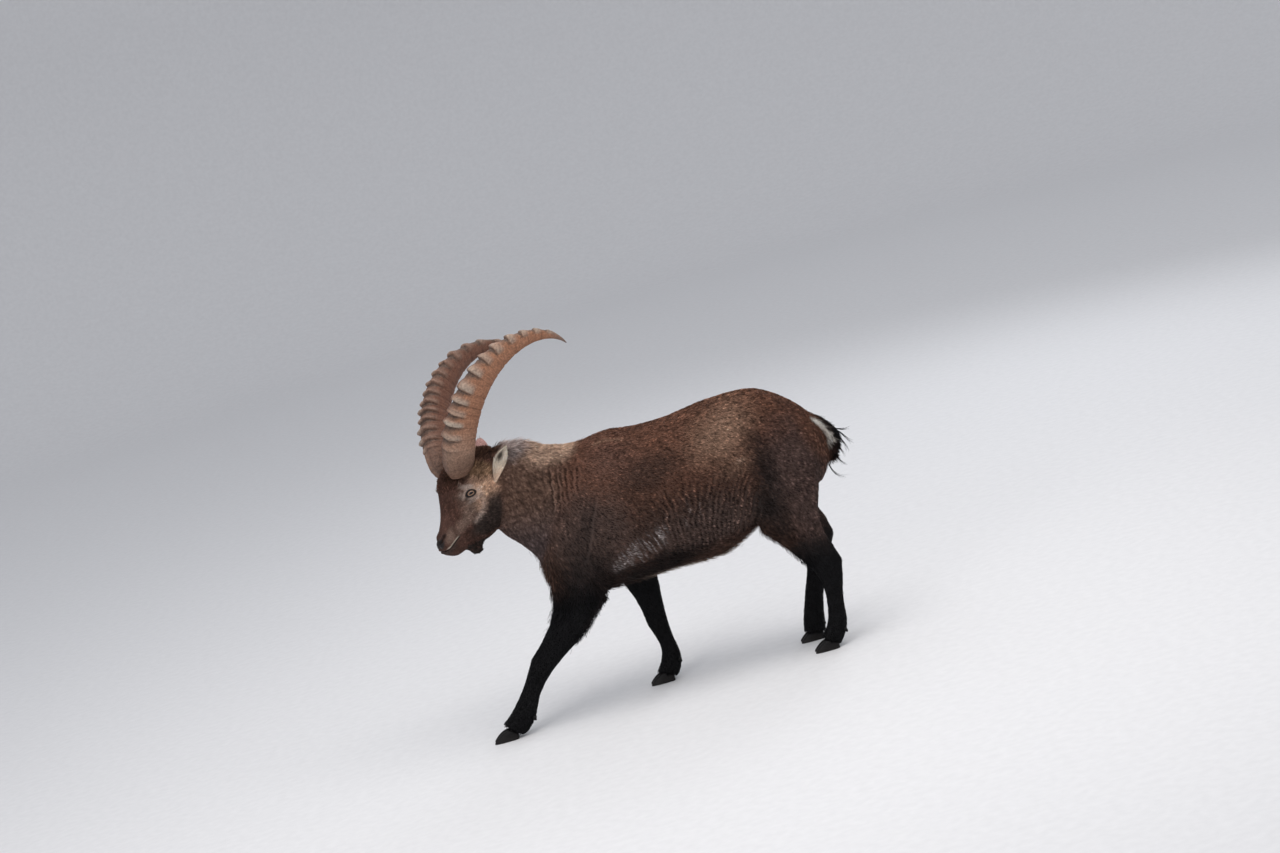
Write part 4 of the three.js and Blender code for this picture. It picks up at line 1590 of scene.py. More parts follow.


TRUNK_CUTS = {
    "shoulders": (-900, -60), "ribs": (-60, 130), "flanks": (130, 320), "hips": (320, 470), "rump": (470, 900)
}
GROWTHS = (
    *(Growth(name, 19200, 13.0, 1.6, 12.0, vary=0.17, grain=1.0, creased=1.0) for name in TRUNK_CUTS),
    Growth("neck_upper", 17500, 14.0, 1.6, 14.0, vary=0.17, grain=0.6, creased=1.0),
    Growth("neck_lower", 22000, 13.0, 1.6, 14.0, 0.3, vary=0.17, grain=0.62, creased=1.0),
    Growth("face", 17000, 7.5, 1.2, 11.0, 0.3, grain=0.8, creased=0.45),
    Growth("cheeks", 16000, 10.0, 1.35, 12.0, 0.3, grain=0.8, creased=0.45),
    Growth("curls", 3900, 19.0, 1.8, 32.0, 1.2, 3, vary=0.35),
    Growth("beard", 2400, 11.0, 1.5, 10.0, 0.15, 2, vary=0.3),
    Growth("ear_tufts", 500, 12.0, 1.1, 16.0, 0.2, 2),
    Growth("ears", 5000, 6.0, 1.1, 7.0, 0.1, grain=0.3),
    *(Growth(name, 14500, 11.0, 1.5, 11.0, slot="leg_coat", vary=0.35) for name in ("forelegs", "hindlegs")),
    Growth("crest", 2800, 27.0, 1.8, 20.0, 0.5, 2, grain=0.6),
    Growth("fringes", 7400, 27.0, 2.0, 34.0, 0.6, 2, grain=0.6),
    Growth("tail", 2600, 27.0, 1.5, 14.0, 0.35, 3, grain=0.4),
)
STREAK_BAND = ((-123, 489), (-34, 519), (49, 550))
FORELEG_FRINGE = ((-205, 400), (-258, 329), (-311, 286))
THIGH_FRINGE = ((350, 455), (416, 372), (462, 315))
WISPS = (  # the four points that draw each lock, in the side view in millimetres
    ((640, 640), (626, 582), (640, 544), (677, 537)),
    ((688, 694), (706, 676), (716, 652), (731, 638)),
    ((676, 704), (700, 694), (716, 690), (728, 694)),
    ((670, 660), (680, 640), (690, 622), (694, 604)),
    ((656, 640), (662, 612), (672, 588), (690, 572)),
    ((684, 676), (700, 656), (708, 636), (708, 618)),
)


@dataclass
class Coat:
    """Locks of hair over the skin, in joined pieces."""

    skin: Skin
    patch: float = 0.003  # the size of a tuft on the bake map
    bury: float = 1.2 * MM  # how far a tuft's root lies in the skin
    fold: float = 2.6 * MM  # how far a crease lifts the hair
    lengths: Flat = (0.72, 1.28)  # the range of the tufts' lengths, as shares
    widths: Flat = (0.75, 1.25)
    stray: float = 0.13  # how far single tufts stray from their clump
    swing: float = 0.10  # how far a tip bends aside, as a share of the length
    flatness: float = 0.55  # a tuft's thickness as a share of its width
    blackest: float = 0.003
    wisps_each: int = 7
    wisp_rings: int = 14
    wisp_sides: int = 5

    def __post_init__(self) -> None:
        """Reads the skin's triangles."""
        mesh = self.skin.piece.data
        mesh.calc_loop_triangles()
        self.corners = fetched(mesh.loop_triangles, "vertices", 3, np.int32)
        loops = fetched(mesh.loop_triangles, "loops", 3, np.int32)
        self.uv = fetched(mesh.uv_layers[BAKE_MAP].uv, "vector", 2)[loops]
        a, b, c = (self.skin.points[self.corners[:, k]] for k in range(3))
        self.areas = np.linalg.norm(np.cross(b - a, c - a), axis=1) / 2
        self.flow = self.skin.hair.directions()
        self.growths = {growth.name: growth for growth in GROWTHS}
        self.finishes = {"coat": CoatFinish().made(), "leg_coat": CoatFinish("leg_hair", 0.7, 0.07).made()}
        self.random = np.random.default_rng(SEED)

    def grow(self, name: str, density: Array, length: Array | float = 1.0, tone: Array | None = None,
             flow: Array | None = None, lift: Array | float = 1.0) -> None:
        """Grows one piece of the coat.

        Args:
            name: Its growth.
            density: How thickly it grows at each point of the skin.
            length: A share of the growth's length at each point.
            tone: Its colour at each point, where it isn't the markings.
            flow: Its direction at each point, where it isn't the lie of the coat.
            lift: A share of the growth's lift at each point.
        """
        growth = self.growths[name]
        weight = self.areas * density[self.corners].mean(axis=1)
        total = np.cumsum(weight)
        picks = (np.arange(growth.count) + self.random.random(growth.count)) / growth.count * total[-1]
        chosen = np.minimum(np.searchsorted(total, picks), len(total) - 1)
        share = self.random.random((growth.count, 2))
        over = share.sum(axis=1) > 1
        share[over] = 1.0 - share[over]
        share = np.column_stack([1.0 - share.sum(axis=1), share])

        def read(values: Array | float) -> Array:
            """Values at the roots."""
            if np.ndim(values) == 0:
                values = np.full(len(self.skin.points), values, dtype=float)
            return np.einsum("ij,ij...->i...", share, values[self.corners[chosen]])

        tone = self.skin.colours if tone is None else tone
        flow = self.flow if flow is None else flow
        uv = np.einsum("ij,ijk->ik", share, self.uv[chosen])
        roots, outwards = read(self.skin.points), unit(read(self.skin.outwards))
        self.build(growth, roots, outwards, read(flow), read(tone), read(length), read(lift), uv)

    def build(self, growth: Growth, roots: Array, outwards: Array, ahead: Array, colours: Array,
              size: Array, raised: Array, uv: Array) -> None:
        """Makes the tufts as one mesh.

        Args:
            growth: Their hair.
            roots: Where each stands.
            outwards: The skin's normal at each.
            ahead: Where each lies.
            colours: The colour of each.
            size: Its share of the growth's length.
            raised: Its share of the growth's lift.
            uv: Its place on the bake map.
        """
        count = len(roots)
        rand = self.random
        clump = rows(*(noise(roots, 0.011, 40 + k) for k in range(3)))
        wide_clump = rows(*(noise(roots, 0.045, 50 + k) for k in range(3)))
        spread = rand.normal(0.0, self.stray, (count, 3))
        ahead = ahead + growth.curl * clump + 0.16 * wide_clump + spread
        ahead = unit(ahead - outwards * np.sum(ahead * outwards, axis=1, keepdims=True))
        aside = np.cross(outwards, ahead)
        length = growth.length * MM * size * rand.uniform(*self.lengths, count)
        width = growth.width * MM * rand.uniform(*self.widths, count) * np.clip(size, 0.6, 1.6) ** 0.5
        ruffled = 1.0 + rand.normal(0.0, 0.3, count) + 0.6 * noise(roots, 0.008, 60)
        lift = np.radians(growth.lift) * raised * np.clip(ruffled, 0.15, 2.6)
        swing = rand.normal(0.0, self.swing, count) * length
        steps = np.linspace(0.0, 1.0, growth.rings + 2)
        levels = [roots - outwards * self.bury]
        for t in steps[1:]:
            far = length * t * np.cos(lift * (1.0 - 0.4 * t))
            high = length * t * np.sin(lift * (1.0 - 0.45 * t))
            middle = roots + ahead * far[:, None] + outwards * high[:, None] + aside * (swing * t * t)[:, None]
            if growth.creased:
                fold = np.maximum(creases(middle / MM, outwards), -0.4)
                middle += outwards * (self.fold * growth.creased * fold)[:, None]
            if t < 1.0:
                half = (width / 2 * math.sin(math.pi * (0.25 + 0.55 * t)))[:, None]
                levels += [middle + aside * half, middle + outwards * half * self.flatness, middle - aside * half]
            else:
                levels.append(middle)
        points = np.stack(levels, axis=1)
        faces = self.template(growth.rings)
        first = points[0]
        if sum(float(np.dot(first[a], np.cross(first[b], first[c]))) for a, b, c in faces) < 0:  # inside out
            faces = faces[:, ::-1]
        whole = (faces[None] + (np.arange(count) * points.shape[1])[:, None, None]).reshape(-1, 3)
        piece = mesh_object(f"coat_{growth.name}", points.reshape(-1, 3), whole)
        t = np.concatenate([[0.0], np.repeat(steps[1:-1], 3), [1.0]])
        tip = roots + ahead * (0.6 * length)[:, None]
        clumps_and_shade = noise(tip, 0.0044, 70) + 0.35 * noise(tip, 0.0095, 71)
        # painted light and shade: tufts lighter on the creases' ridges, darker in their valleys and in the gaps
        # between small clumps
        clumps_and_shade += growth.creased * (0.95 * creases(tip / MM, outwards) - self.gaps(tip))
        bright = np.exp(rand.normal(0.0, growth.vary, count) + growth.grain * clumps_and_shade)
        if growth.creased:
            colours = streaked(colours, tip / MM)
        # painted shade: each tuft is darker at its root than at its tip, for the shade of the hair around it
        shade = (0.62 + 0.62 * t)[None, :] * bright[:, None]
        shaded = np.clip(colours[:, None, :] * shade[:, :, None], self.blackest, 0.95)
        give_colours(piece.data, MARKINGS, shaded.reshape(-1, 3))
        across = np.concatenate([[0.5], np.tile([1.0, 0.5, 0.0], growth.rings), [0.5]])
        tuft = rows(across - 0.5, t - 0.5) * self.patch
        give_map(piece.data, BAKE_MAP, (uv[:, None] + tuft[None]).reshape(-1, 2)[whole.ravel()])
        finished(piece, growth.slot, self.finishes[growth.slot])

    @staticmethod
    def gaps(tip: Array) -> Array:
        """Painted shade in the gaps between the small clumps of the body's coat, drawn out lower down.

        Args:
            tip: The middle of each tuft, in metres.

        Returns:
            How deep it lies in a gap, which darkens it as painted shade.
        """
        x, _, z = tip.T
        drawn = 1.0 + 1.3 * fall(z, 0.66, 0.80)
        drawn = np.maximum(drawn, 1.0 + 1.3 * smoothstep(-x, 0.06, 0.2) * fall(z, 0.86, 0.92))
        wave = 0.006 * noise(tip, 0.024, 76)
        place = rows(x + wave, tip[:, 1] * 0.5, z / drawn)
        band = to_line(tip[:, [0, 2]] / MM, STREAK_BAND)
        deep = bell(noise(place, 0.0105, 75) / 0.2) + 0.5 * bell(noise(place, 0.0068, 77) / 0.16) - 0.35
        return deep * (1.0 - 0.85 * bell(band / 32.0))

    @staticmethod
    def template(rings: int) -> Array:
        """The triangles of one tuft: a root, rings of three and a tip.

        Args:
            rings: How many rings.

        Returns:
            The numbers of each triangle's corners.
        """
        faces = [(0, 1 + k, 1 + (k + 1) % 3) for k in range(3)]
        for first in range(1, 3 * rings - 2, 3):
            for k in range(3):
                a, b = first + k, first + (k + 1) % 3
                faces += [(a, a + 3, b + 3), (a, b + 3, b)]
        last = 3 * rings - 2
        faces += [(last + k, last + 3, last + (k + 1) % 3) for k in range(3)]
        return np.array(faces)

    def made(self) -> None:
        """Grows the coat part by part."""
        skin, hair, m = self.skin, self.skin.hair, self.skin.masks
        x, _, z = hair.place.T
        lx, _, lz = hair.local.T
        body = np.clip(m[Part.TRUNK] + m[Part.LEG] * smoothstep(z, 380, 470), 0.0, 1.0)
        under = 1.0 - 0.5 * smoothstep(-hair.outwards[:, 2], 0.6, 0.95)
        longer = 1.0 + 0.25 * bell((z - 425) / 30) + 0.25 * smoothstep(z, 880, 930)
        for name, (start, end) in TRUNK_CUTS.items():
            self.grow(name, ((x >= start) & (x < end)) * body * under, longer)
        neck = m[Part.NECK] * (1.0 - m[Part.HEAD])
        upper = smoothstep(z, 800, 820)
        self.grow("neck_upper", neck * upper, 1.0 + 0.4 * smoothstep(z, 900, 950))
        self.grow("neck_lower", neck * (1.0 - upper))
        opened, _, depth = EYE.measured(hair.local)
        lids = np.where((depth > 0) & (opened < 1.9), smoothstep(opened, 1.35, 1.9), 1.0)
        bald = np.clip(skin.bare * 1.6, 0.0, 1.0)
        mouth = bell(to_line(hair.local[:, [0, 2]], MOUTH) / 2.2) * smoothstep(-lx, 190, 200)
        face = m[Part.HEAD] * lids * (1.0 - bald) * (1.0 - mouth)
        muzzle = smoothstep(-lx - 0.3 * lz, 205, 260)
        short = 1.0 - 0.45 * muzzle - 0.45 * (bell((opened - 1.6) / 0.9) * (depth > 0))
        front = lx < -112
        self.grow("face", face * front, short)
        self.grow("cheeks", face * ~front, short)
        self.tufted_head(face)
        self.grow("ears", m[Part.EAR] * (1.0 - np.clip(1.5 * hair.ear_hollow, 0, 1)))
        lower = m[Part.LEG] * fall(z, 400, 440) * smoothstep(z, 12, 22)
        fore = x < 150
        self.grow("forelegs", lower * fore)
        self.grow("hindlegs", lower * ~fore)
        self.fringes()
        self.tail()

    def tufted_head(self, face: Array) -> None:
        """Curls round the horns and the poll, the beard and the hair in the ears.

        Args:
            face: Where hair grows on the head.
        """
        skin, hair = self.skin, self.skin.hair
        x, y, z = hair.local.T
        horn = np.linalg.norm((hair.local - np.array([-126, -46, 0]))[:, :2] * np.array([0.8, 1.0]), axis=1)
        ring = bell((horn - 44) / 9.0) * (z > 5)
        brow = smoothstep(-x, 128, 150) * smoothstep(z, 0, 34) * (np.abs(y) < 60)
        ring = np.maximum(ring, 0.7 * brow)
        curly = np.clip(ring + smoothstep(z, 72, 92) * smoothstep(x, -100, -70), 0, 1)
        tone = mixed(skin.colours, Tones.curls, 0.4 * curly)
        self.grow("curls", face * curly, 1.0 - 0.45 * brow, tone, lift=1.0 + 0.6 * ring - 0.5 * brow)
        chin = smoothstep(-z, 176, 190) * smoothstep(x, -182, -170) * (x < -90)
        down = filled(HEAD.turned(unit(np.array([0.75, 0.0, -0.75]))), len(x))
        self.grow("beard", chin * face, 1.0, filled(Tones.beard, len(x)), down, 1.2)
        self.grow("ear_tufts", hair.ear_inside * (1.0 - hair.ear_hollow) * smoothstep(z, 14, 40))

    def fringes(self) -> None:
        """Longer hair along the crest, and at the elbows, the brisket, the belly and the thighs."""
        m, outwards = self.skin.masks, self.skin.outwards
        x, _, z = self.skin.hair.place.T
        crest = m[Part.NECK] * smoothstep(outwards[:, 2], 0.55, 0.9)
        nape = smoothstep(-x, 270, 350)
        self.grow("crest", crest, 0.8 + 0.6 * nape, lift=1.0 + nape)
        elbows = bell(np.sqrt(((x + 205) / 36) ** 2 + ((z - 415) / 36) ** 2))
        brisket = bell(np.sqrt(((x + 366) / 30) ** 2 + ((z - 470) / 60) ** 2))
        belly = smoothstep(-outwards[:, 2], 0.2, 0.55) * smoothstep(x, -160, -60) * fall(x, 330, 380)
        belly = belly * (z > 360) * (z < 470)
        arm = bell(to_line(rows(x, z), FORELEG_FRINGE) / 17) * 0.8
        thigh = bell(to_line(rows(x, z), THIGH_FRINGE) / 16) * 0.8
        ragged = np.clip(elbows + brisket + arm + 0.5 * belly + thigh, 0, 1)
        self.grow("fringes", ragged * (m[Part.EAR] + m[Part.HEAD] < 0.1))

    def tail(self) -> None:
        """Hair that stands out from the root of the tail, and long thin locks."""
        out = unit(self.skin.points - np.array([0.590, MIDDLE * MM, 0.770]))
        self.grow("tail", self.skin.masks[Part.TAIL], flow=unit(0.3 * self.flow + out))
        points, faces = [], []
        t = np.linspace(0.0, 1.0, self.wisp_rings)[:, None]
        angle = np.linspace(0.0, 2.0 * np.pi, self.wisp_sides, endpoint=False)
        round_it = rows(np.cos(angle), np.sin(angle))
        half = 0.85 * (1.0 - t[:, 0]) ** 0.7 + 0.05
        for lock in WISPS:
            way = np.array([[x, MIDDLE, z] for x, z in lock])
            for _ in range(self.wisps_each):
                a, b, c, d = way + self.random.normal(0.0, 1.0, way.shape) * np.array([[1.0], [2.0], [3.2], [5.0]])
                line = a * (1 - t) ** 3 + 3 * b * t * (1 - t) ** 2 + 3 * c * t**2 * (1 - t) + d * t**3
                ahead = unit(np.gradient(line, axis=0))
                side = unit(np.cross(ahead, np.array([0.0, 1.0, 0.0])))
                ring = side[:, None] * round_it[None, :, :1] + np.cross(ahead, side)[:, None] * round_it[None, :, 1:]
                quads = grid_faces(self.wisp_rings, self.wisp_sides)
                faces.append(halved(quads) + len(points) * t.size * angle.size)
                points.append((line[:, None] + ring * half[:, None, None]).reshape(-1, 3))
        piece = mesh_object("coat_tail_wisps", np.concatenate(points) * MM, np.concatenate(faces))
        give_colours(piece.data, MARKINGS, filled(Tones.black, len(piece.data.vertices)))
        give_map(piece.data, BAKE_MAP, np.full((len(piece.data.loops), 2), 0.5))
        finished(piece, "coat", self.finishes["coat"])


# Horns


@dataclass(frozen=True)
class HornShape:
    """A ridged horn that sweeps back, in the head's frame: lengths in millimetres."""

    length: float = 677.0
    base: Place = (-124.0, -46.0, 65.0)
    depth: float = 109.0
    width: float = 70.0
    tip: float = 0.03
    rise: float = 86.0
    bend: float = 106.0
    hook: float = 36.5
    splay: Flat = (26.0, -2.0)
    knobs_near: tuple = (0.12, 0.17, 0.232, 0.28, 0.335, 0.39, 0.475, 0.55, 0.615, 0.695, 0.765, 0.83, 0.89)
    knobs_far: tuple = (0.07, 0.12, 0.16, 0.21, 0.262, 0.305, 0.345, 0.395, 0.445, 0.5, 0.56, 0.62, 0.7, 0.78, 0.86)
    knob_height: float = 10.0
    sunk: float = 22.0  # how far its root goes into the head
    rings: int = 420
    sides: int = 44
    outline: tuple = ((1.0, 0.0), (0.94, 0.72), (0.5, 1.0), (-0.3, 0.84), (-0.85, 0.42), (-1.0, 0.0))

    def round_it(self) -> tuple[Array, Array]:
        """The closed outline at even steps, as shares forward and to the side."""
        half = np.array(self.outline)
        closed = np.concatenate([half, half[-2:0:-1] * np.array([1.0, -1.0])])
        count = len(closed)
        t = np.arange(self.sides) / self.sides * count
        i = np.floor(t).astype(int)
        f = (t - i)[:, None]
        a, b, c, d = (closed[(i + k) % count] for k in (-1, 0, 1, 2))
        made = 0.5 * (2 * b + (c - a) * f + (2 * a - 5 * b + 4 * c - d) * f**2 + (3 * b - a - 3 * c + d) * f**3)
        return made[:, 0], made[:, 1]

    def knob_count(self, t: Array, sign: float) -> Array:
        """How many knobs' lower edges lie below each place, with the share of the way to the next.

        Args:
            t: Shares of the length.
            sign: The side, left for -1.

        Returns:
            A count for each place.
        """
        edges = np.array(self.knobs_near if sign < 0 else self.knobs_far) - 0.014
        edges = np.concatenate([[0.0], edges, [1.0]])
        return np.interp(t, edges, np.arange(len(edges)))

    def made(self, sign: float) -> tuple[Array, Array, dict[str, Array], Array]:
        """One horn, the left one for -1.

        Args:
            sign: The side.

        Returns:
            Its points, its quads, its wear and painted shade at each point, and its map at each point.
        """
        t = np.linspace(0.0, 1.0, self.rings)
        climb = np.radians(self.rise - self.bend * t**1.14 - self.hook * t**8)
        out = np.radians(self.splay[0] + (self.splay[1] - self.splay[0]) * t)
        ahead = rows(np.cos(climb) * np.cos(out), -np.sin(out), np.sin(climb) * np.cos(out))
        front = rows(-np.sin(climb), 0.0, np.cos(climb))
        across = unit(np.cross(ahead, front))
        steps = np.concatenate([np.zeros((1, 3)), np.cumsum(ahead[1:], axis=0)])
        centre = np.array(self.base) + steps * (self.length / (self.rings - 1))
        centre = centre - ahead * (self.sunk * fall(t, 0.0, 0.1))[:, None]
        share = np.maximum(1.0 - 0.97 * t**2.2, self.tip) * (0.66 + 0.34 * smoothstep(t, -0.02, 0.062))
        forward, aside = self.round_it()
        phase = self.knob_count(t, sign) % 1.0
        crisp = 0.13 if sign < 0 else 0.24  # the left horn's knobs have sharper lower edges
        swell = smoothstep(phase, 0.0, crisp) * fall(phase, 0.34, 0.74) * (1.0 - 0.25 * smoothstep(phase, crisp, 0.5))
        fade = smoothstep(t, 0.05, 0.2) * (1.0 - 0.6 * smoothstep(t, 0.6, 0.9)) * fall(t, 0.88, 0.96)
        uneven = 0.95 + 0.45 * noise(rows(np.floor(self.knob_count(t, sign)) * 7.3, 0.0, sign), 1.0, 21)
        knob = self.knob_height * swell * fade * uneven
        row = rows(t * 60.0, 0.0, 0.0)
        growth = 0.5 * noise(row * 2.4, 1.0, 3) + 0.35 * noise(row * 5.5, 1.0, 4)
        growth = growth * (1.0 + 1.2 * fall(t, 0.08, 0.2))
        groove = -1.5 * (bell(phase / 0.06) + bell((phase - 1.0) / 0.06)) * fade
        on_front = smoothstep(forward, 0.55, 0.96)
        edge = smoothstep(forward, 0.16, 0.5) * smoothstep(np.abs(aside), 0.3, 0.7)
        spots = rows(np.repeat(t * 26.0, self.sides), np.tile(aside * 1.6, self.rings), sign)
        wobble = noise(spots, 1.0, 6).reshape(self.rings, self.sides)
        scale = (growth + groove)[:, None] * np.sqrt(share)[:, None]
        radial = np.sqrt(forward**2 + aside**2)
        f = forward[None] * self.depth * share[:, None] / 2 + knob[:, None] * on_front * (1.0 + 0.25 * wobble)
        f = f + scale * (forward / radial) + 0.8 * wobble * on_front * share[:, None]
        s = aside[None] * self.width * share[:, None] / 2 + 0.42 * knob[:, None] * edge * np.sign(aside)
        s = s + scale * (aside / radial) * 0.8
        points = (centre[:, None] + front[:, None] * f[..., None] + across[:, None] * s[..., None]).reshape(-1, 3)
        points = np.concatenate([points, centre[:1], centre[-1:] + ahead[-1:] * 2.0])
        if sign > 0:
            points[:, 1] *= -1.0
        wear = self.wear(t, knob, fade, phase, wobble)
        u, v = np.meshgrid(np.abs(np.arange(self.sides) - self.sides / 2) / self.sides * 0.25, t * self.length * MM)
        where = rows(u.ravel(), v.ravel())
        where = np.concatenate([where, where[[0, -1]]])
        return HEAD.placed(points * MM), grid_faces(self.rings, self.sides, flip=sign > 0), wear, where

    def wear(self, t: Array, knob: Array, fade: Array, phase: Array, wobble: Array) -> dict[str, Array]:
        """Where the horn is worn pale, where its tip and root are dark, and where shade is painted on it: below and
        between the knobs and on the inner side.

        Args:
            t: The share of the length at each ring.
            knob: The height of the knobs there.
            fade: How much the knobs show there.
            phase: How far it is from one knob to the next.
            wobble: Noise at each point.

        Returns:
            A share at each point for each kind of wear and of painted shade.
        """
        forward, aside = self.round_it()
        on_front, flank = smoothstep(forward, 0.55, 0.96), smoothstep(forward, 0.12, 0.42)
        outer = 0.3 + 0.7 * smoothstep(aside, -0.55, 0.1)
        stand = np.clip(np.clip(knob / self.knob_height, 0, 1) / np.maximum(fade, 0.25), 0, 1)[:, None]
        worn = flank * stand * outer * (0.35 + 0.65 * np.minimum(fade * 1.6, 1.0)[:, None])
        worn = np.maximum(worn + 0.45 * smoothstep(t, 0.66, 0.8)[:, None] * on_front,
                          0.45 * bell((t - 0.11) / 0.06)[:, None] * outer)
        # painted shade: a dark band just below each knob's lower edge and on the fronts between the knobs; the root is
        # darkened too
        under = (bell(phase / 0.09) + bell((phase - 1.0) / 0.09))[:, None]
        gap = 0.62 * on_front * (1.0 - stand) ** 2 + 0.8 * flank * under * (1.0 - stand)
        root = fall(t + 0.02 * wobble.mean(axis=1), 0.045, 0.11)[:, None]
        shares = {
            "Worn": np.clip(worn * (0.85 + 0.3 * wobble), 0, 1),
            "GapShadeAndRoot": np.clip(np.minimum(fade * 1.5, 1.0)[:, None] * gap + 0.62 * root, 0, 0.92),
            "Tip": np.broadcast_to(0.8 * smoothstep(t, 0.86, 1.0)[:, None], wobble.shape),
            "InnerShade": np.broadcast_to(smoothstep(-aside, -0.1, 0.6), wobble.shape),
        }
        return {name: np.concatenate([value.ravel(), value.ravel()[[0, -1]]]) for name, value in shares.items()}


@dataclass
class Horns:
    """Both horns."""

    shape: HornShape = HornShape()

    def __post_init__(self) -> None:
        """Builds the horns."""
        finish = HornFinish().made()
        for side, sign in (("left", -1.0), ("right", 1.0)):
            points, quads, wear, where = self.shape.made(sign)
            s = np.arange(self.shape.sides)
            n = (s + 1) % self.shape.sides
            last = (self.shape.rings - 1) * self.shape.sides
            caps = np.concatenate([rows(n, s, len(points) - 2), rows(last + s, last + n, len(points) - 1)])
            triangles = np.concatenate([halved(quads), caps[:, ::-1] if sign > 0 else caps])
            piece = mesh_object(f"horn_{side}_ridged", points, triangles)
            for name, values in wear.items():
                give_numbers(piece.data, name, values)
            give_map(piece.data, "Horn", where[triangles.ravel()])
            with editing(piece):
                bpy.ops.mesh.normals_make_consistent(inside=False)
            finished(piece, "horn", finish, f"horn_{side}")


@dataclass
class Eyes:
    """Both eyeballs and the edges of their lids."""

    rim_radius: float = 1.9  # millimetres
    rim_points: int = 72
    rim_sides: int = 8
    cornea: float = 0.045  # how far it stands out, as a share of the ball's radius

    def __post_init__(self) -> None:
        """Builds the eyes."""
        wet, edge = EyeFinish().made(), LidFinish().made()
        for side, mirror in (("left", (1.0, 1.0, 1.0)), ("right", (1.0, -1.0, 1.0))):
            self.ball(side, np.array(mirror), wet)
            self.rim(side, np.array(mirror), edge)

    def ball(self, side: str, mirror: Array, finish: Material) -> None:
        """One eyeball with a slightly proud cornea, looking out of its lids.

        Args:
            side: The side's name.
            mirror: Turns the left side's places into its own.
            finish: The material.
        """
        radius = EYE.radius * MM
        centre = HEAD.placed(np.array(EYE.centre) * mirror * MM)
        bpy.ops.object.select_all(action="DESELECT")
        bpy.ops.mesh.primitive_uv_sphere_add(segments=64, ring_count=32, radius=radius, location=centre)
        piece = bpy.context.object
        piece.name = piece.data.name = f"eye_{side}_ball"
        bpy.ops.object.transform_apply(location=True, rotation=True, scale=True)
        forward, up, look = (HEAD.turned(axis * mirror) for axis in EYE.axes())
        mesh = piece.data
        gap = (positions(mesh) - centre) / radius
        depth = gap @ look
        bulge = 1.0 + self.cornea * smoothstep(depth, 0.72, 0.98)
        move_to(mesh, centre + gap * bulge[:, None] * radius)
        where = rows(gap @ forward, gap @ up)
        where[depth < 0] = 2.0  # off the map, so that the back is plain
        give_map(mesh, "Gaze", where[fetched(mesh.loops, "vertex_index", 1, np.int32)])
        bpy.ops.object.shade_smooth()
        finished(piece, "eye", finish, f"eye_{side}")

    def rim(self, side: str, mirror: Array, finish: Material) -> None:
        """The dark moist edge round the opening.

        Args:
            side: The side's name.
            mirror: Turns the left side's places into its own.
            finish: The material.
        """
        centres, out = EYE.rim(self.rim_points)
        centres = centres + out * 0.75
        ahead = unit(np.roll(centres, -1, axis=0) - np.roll(centres, 1, axis=0))
        aside = unit(np.cross(ahead, out))
        angle = np.linspace(0.0, 2.0 * np.pi, self.rim_sides, endpoint=False)
        ring = out[:, None] * np.cos(angle)[None, :, None] * 1.1 + aside[:, None] * np.sin(angle)[None, :, None] * 1.3
        upper = np.clip(np.sin(np.linspace(0.0, 2.0 * np.pi, self.rim_points, endpoint=False)), 0.0, 1.0)
        ring = ring * (self.rim_radius * (0.85 + 0.4 * upper))[:, None, None]
        points = (centres[:, None] + ring).reshape(-1, 3) * mirror
        last = (self.rim_points - 1) * self.rim_sides
        s = np.arange(self.rim_sides)
        n = (s + 1) % self.rim_sides
        faces = np.concatenate([grid_faces(self.rim_points, self.rim_sides), rows(last + s, last + n, n, s)])
        piece = mesh_object(f"eyelid_edge_{side}", HEAD.placed(points * MM), faces)
        with editing(piece):
            bpy.ops.mesh.normals_make_consistent(inside=False)
        finished(piece, "eye", finish)


@dataclass
class Hooves:
    """Rounded claws and dewclaws with flat soles, over the frame's own."""

    nodes: dict[str, Piece]
    levels: int = 3
    sole_crease: float = 0.9

    def __post_init__(self) -> None:
        """Builds the hooves."""
        finish = HoofFinish().made()
        for name in CLAWS:
            piece = copied(f"{name}_horny", self.nodes[name])
            with editing(piece):
                bpy.ops.mesh.tris_convert_to_quads(face_threshold=math.radians(50), shape_threshold=math.radians(60))
            crease = piece.data.attributes.new("crease_edge", "FLOAT", "EDGE")
            ends = positions(piece.data)[:, 2][fetched(piece.data.edges, "vertices", 2, np.int32)]
            sole = (ends < 1.0 * MM).all(axis=1)
            crease.data.foreach_set("value", np.where(sole, self.sole_crease, 0.0).astype(np.float32))
            round_it = piece.modifiers.new("round", "SUBSURF")
            round_it.levels = round_it.render_levels = self.levels
            bpy.ops.object.modifier_apply(modifier="round")
            bpy.ops.object.shade_smooth()
            finished(piece, "hoof", finish, name)


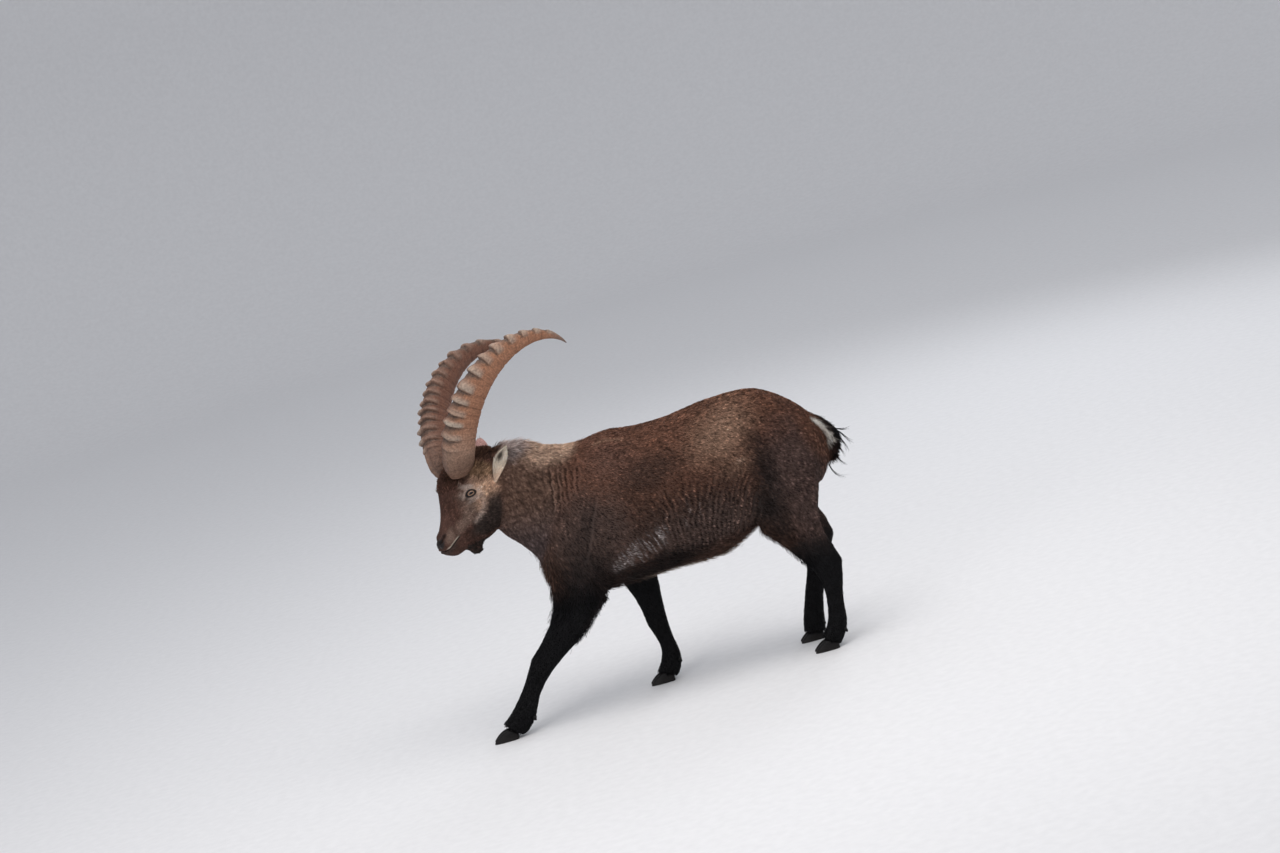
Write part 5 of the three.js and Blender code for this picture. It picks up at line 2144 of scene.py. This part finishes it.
@dataclass
class Studio:
    """A pale bowl of a floor, soft light from above, and the photograph's camera."""

    camera: Place = (0.05913, -8.93273, 2.29541)
    elevation: float = 9.0  # degrees
    roll: float = 15.86  # degrees, the slope of the photograph's ground
    lens: float = 75.9
    floor_radius: float = 15.0
    corner: float = 3.0  # the radius of the curve up to the wall
    wall: float = 7.0
    floor_sides: int = 96
    curve_steps: int = 12
    sky: tuple[float, float, float, float] = (0.93, 0.95, 1.0, 1.0)
    sky_strength: float = 0.70
    aim: Place = (0.0, 0.0, 0.6)  # what the lamps look at
    lamps: tuple = (  # each with its place, its side, its watts and its colour
        ("above", (0.6, -1.2, 4.6), 3.6, 130.0, (1.0, 0.965, 0.93)),
        ("side", (-3.4, -5.2, 2.6), 2.8, 60.0, (1.0, 0.97, 0.95)),
        ("behind", (2.6, 4.6, 3.4), 2.6, 50.0, (0.95, 0.97, 1.0)),
        ("glint", (-3.0, -5.4, 3.4), 0.5, 14.0, (1.0, 1.0, 1.0)),
    )

    def __post_init__(self) -> None:
        """Builds the studio."""
        self.build_camera()
        self.build_floor()
        self.build_lights()

    def build_camera(self) -> None:
        """The camera at the photograph's angle, rolled by the slope of its ground."""
        data = bpy.data.cameras.new("camera")
        data.lens, data.sensor_width, data.clip_end = self.lens, 36.0, 200.0
        view = bpy.data.objects.new("camera", data)
        bpy.context.scene.collection.objects.link(view)
        turn = Matrix.Rotation(math.radians(90.0 - self.elevation), 4, "X")
        view.matrix_world = Matrix.Translation(self.camera) @ turn @ Matrix.Rotation(math.radians(-self.roll), 4, "Z")
        bpy.context.scene.camera = view

    def build_floor(self) -> None:
        """A level floor that curves up far away on all sides."""
        level = self.floor_radius - self.corner
        profile = [(1e-6, 0.0), (4.0, 0.0), (8.0, 0.0), (level, 0.0)]
        for k in range(1, self.curve_steps + 1):
            angle = math.pi / 2 * k / self.curve_steps
            profile.append((level + self.corner * math.sin(angle), self.corner - self.corner * math.cos(angle)))
        profile.append((self.floor_radius, self.wall))
        angle = np.linspace(0.0, 2.0 * np.pi, self.floor_sides, endpoint=False)
        points = np.concatenate([rows(radius * np.cos(angle), radius * np.sin(angle), up) for radius, up in profile])
        floor = mesh_object("floor", points, grid_faces(len(profile), self.floor_sides, flip=True))
        with editing(floor):
            bpy.ops.mesh.remove_doubles(threshold=1e-4)
        paint = NodeMaker("floor_paint")
        grain = paint.noise(paint.coordinates(), 30.0, 4.0)
        paint.set(Base_Color=paint.ramp(grain, (0.3, (0.70, 0.70, 0.71)), (0.7, (0.74, 0.74, 0.75))), Roughness=0.9)
        floor.data.materials.append(paint.material)

    def build_lights(self) -> None:
        """The lamps, and a pale sky."""
        world = bpy.data.worlds.new("sky")
        bpy.context.scene.world = world
        world.use_nodes = True
        shade = world.node_tree.nodes["Background"]
        shade.inputs["Color"].default_value = self.sky
        shade.inputs["Strength"].default_value = self.sky_strength
        for name, place, size, power, colour in self.lamps:
            data = bpy.data.lights.new(name, "AREA")
            data.size, data.energy, data.color = size, power, colour
            lamp = bpy.data.objects.new(name, data)
            lamp.location = place
            lamp.rotation_euler = (Vector(self.aim) - Vector(place)).to_track_quat("-Z", "Y").to_euler()
            bpy.context.scene.collection.objects.link(lamp)
        bpy.context.scene.view_settings.view_transform = "Standard"


def main() -> None:
    """Builds the animal and the studio in order."""
    logging.basicConfig(level=logging.INFO, format="%(relativeCreated)6d %(message)s")
    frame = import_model()
    Studio()
    skin = Skin(frame["nodes"])
    Coat(skin).made()
    Horns()
    Eyes()
    Hooves(frame["nodes"])


if __name__ == "__main__":
    main()
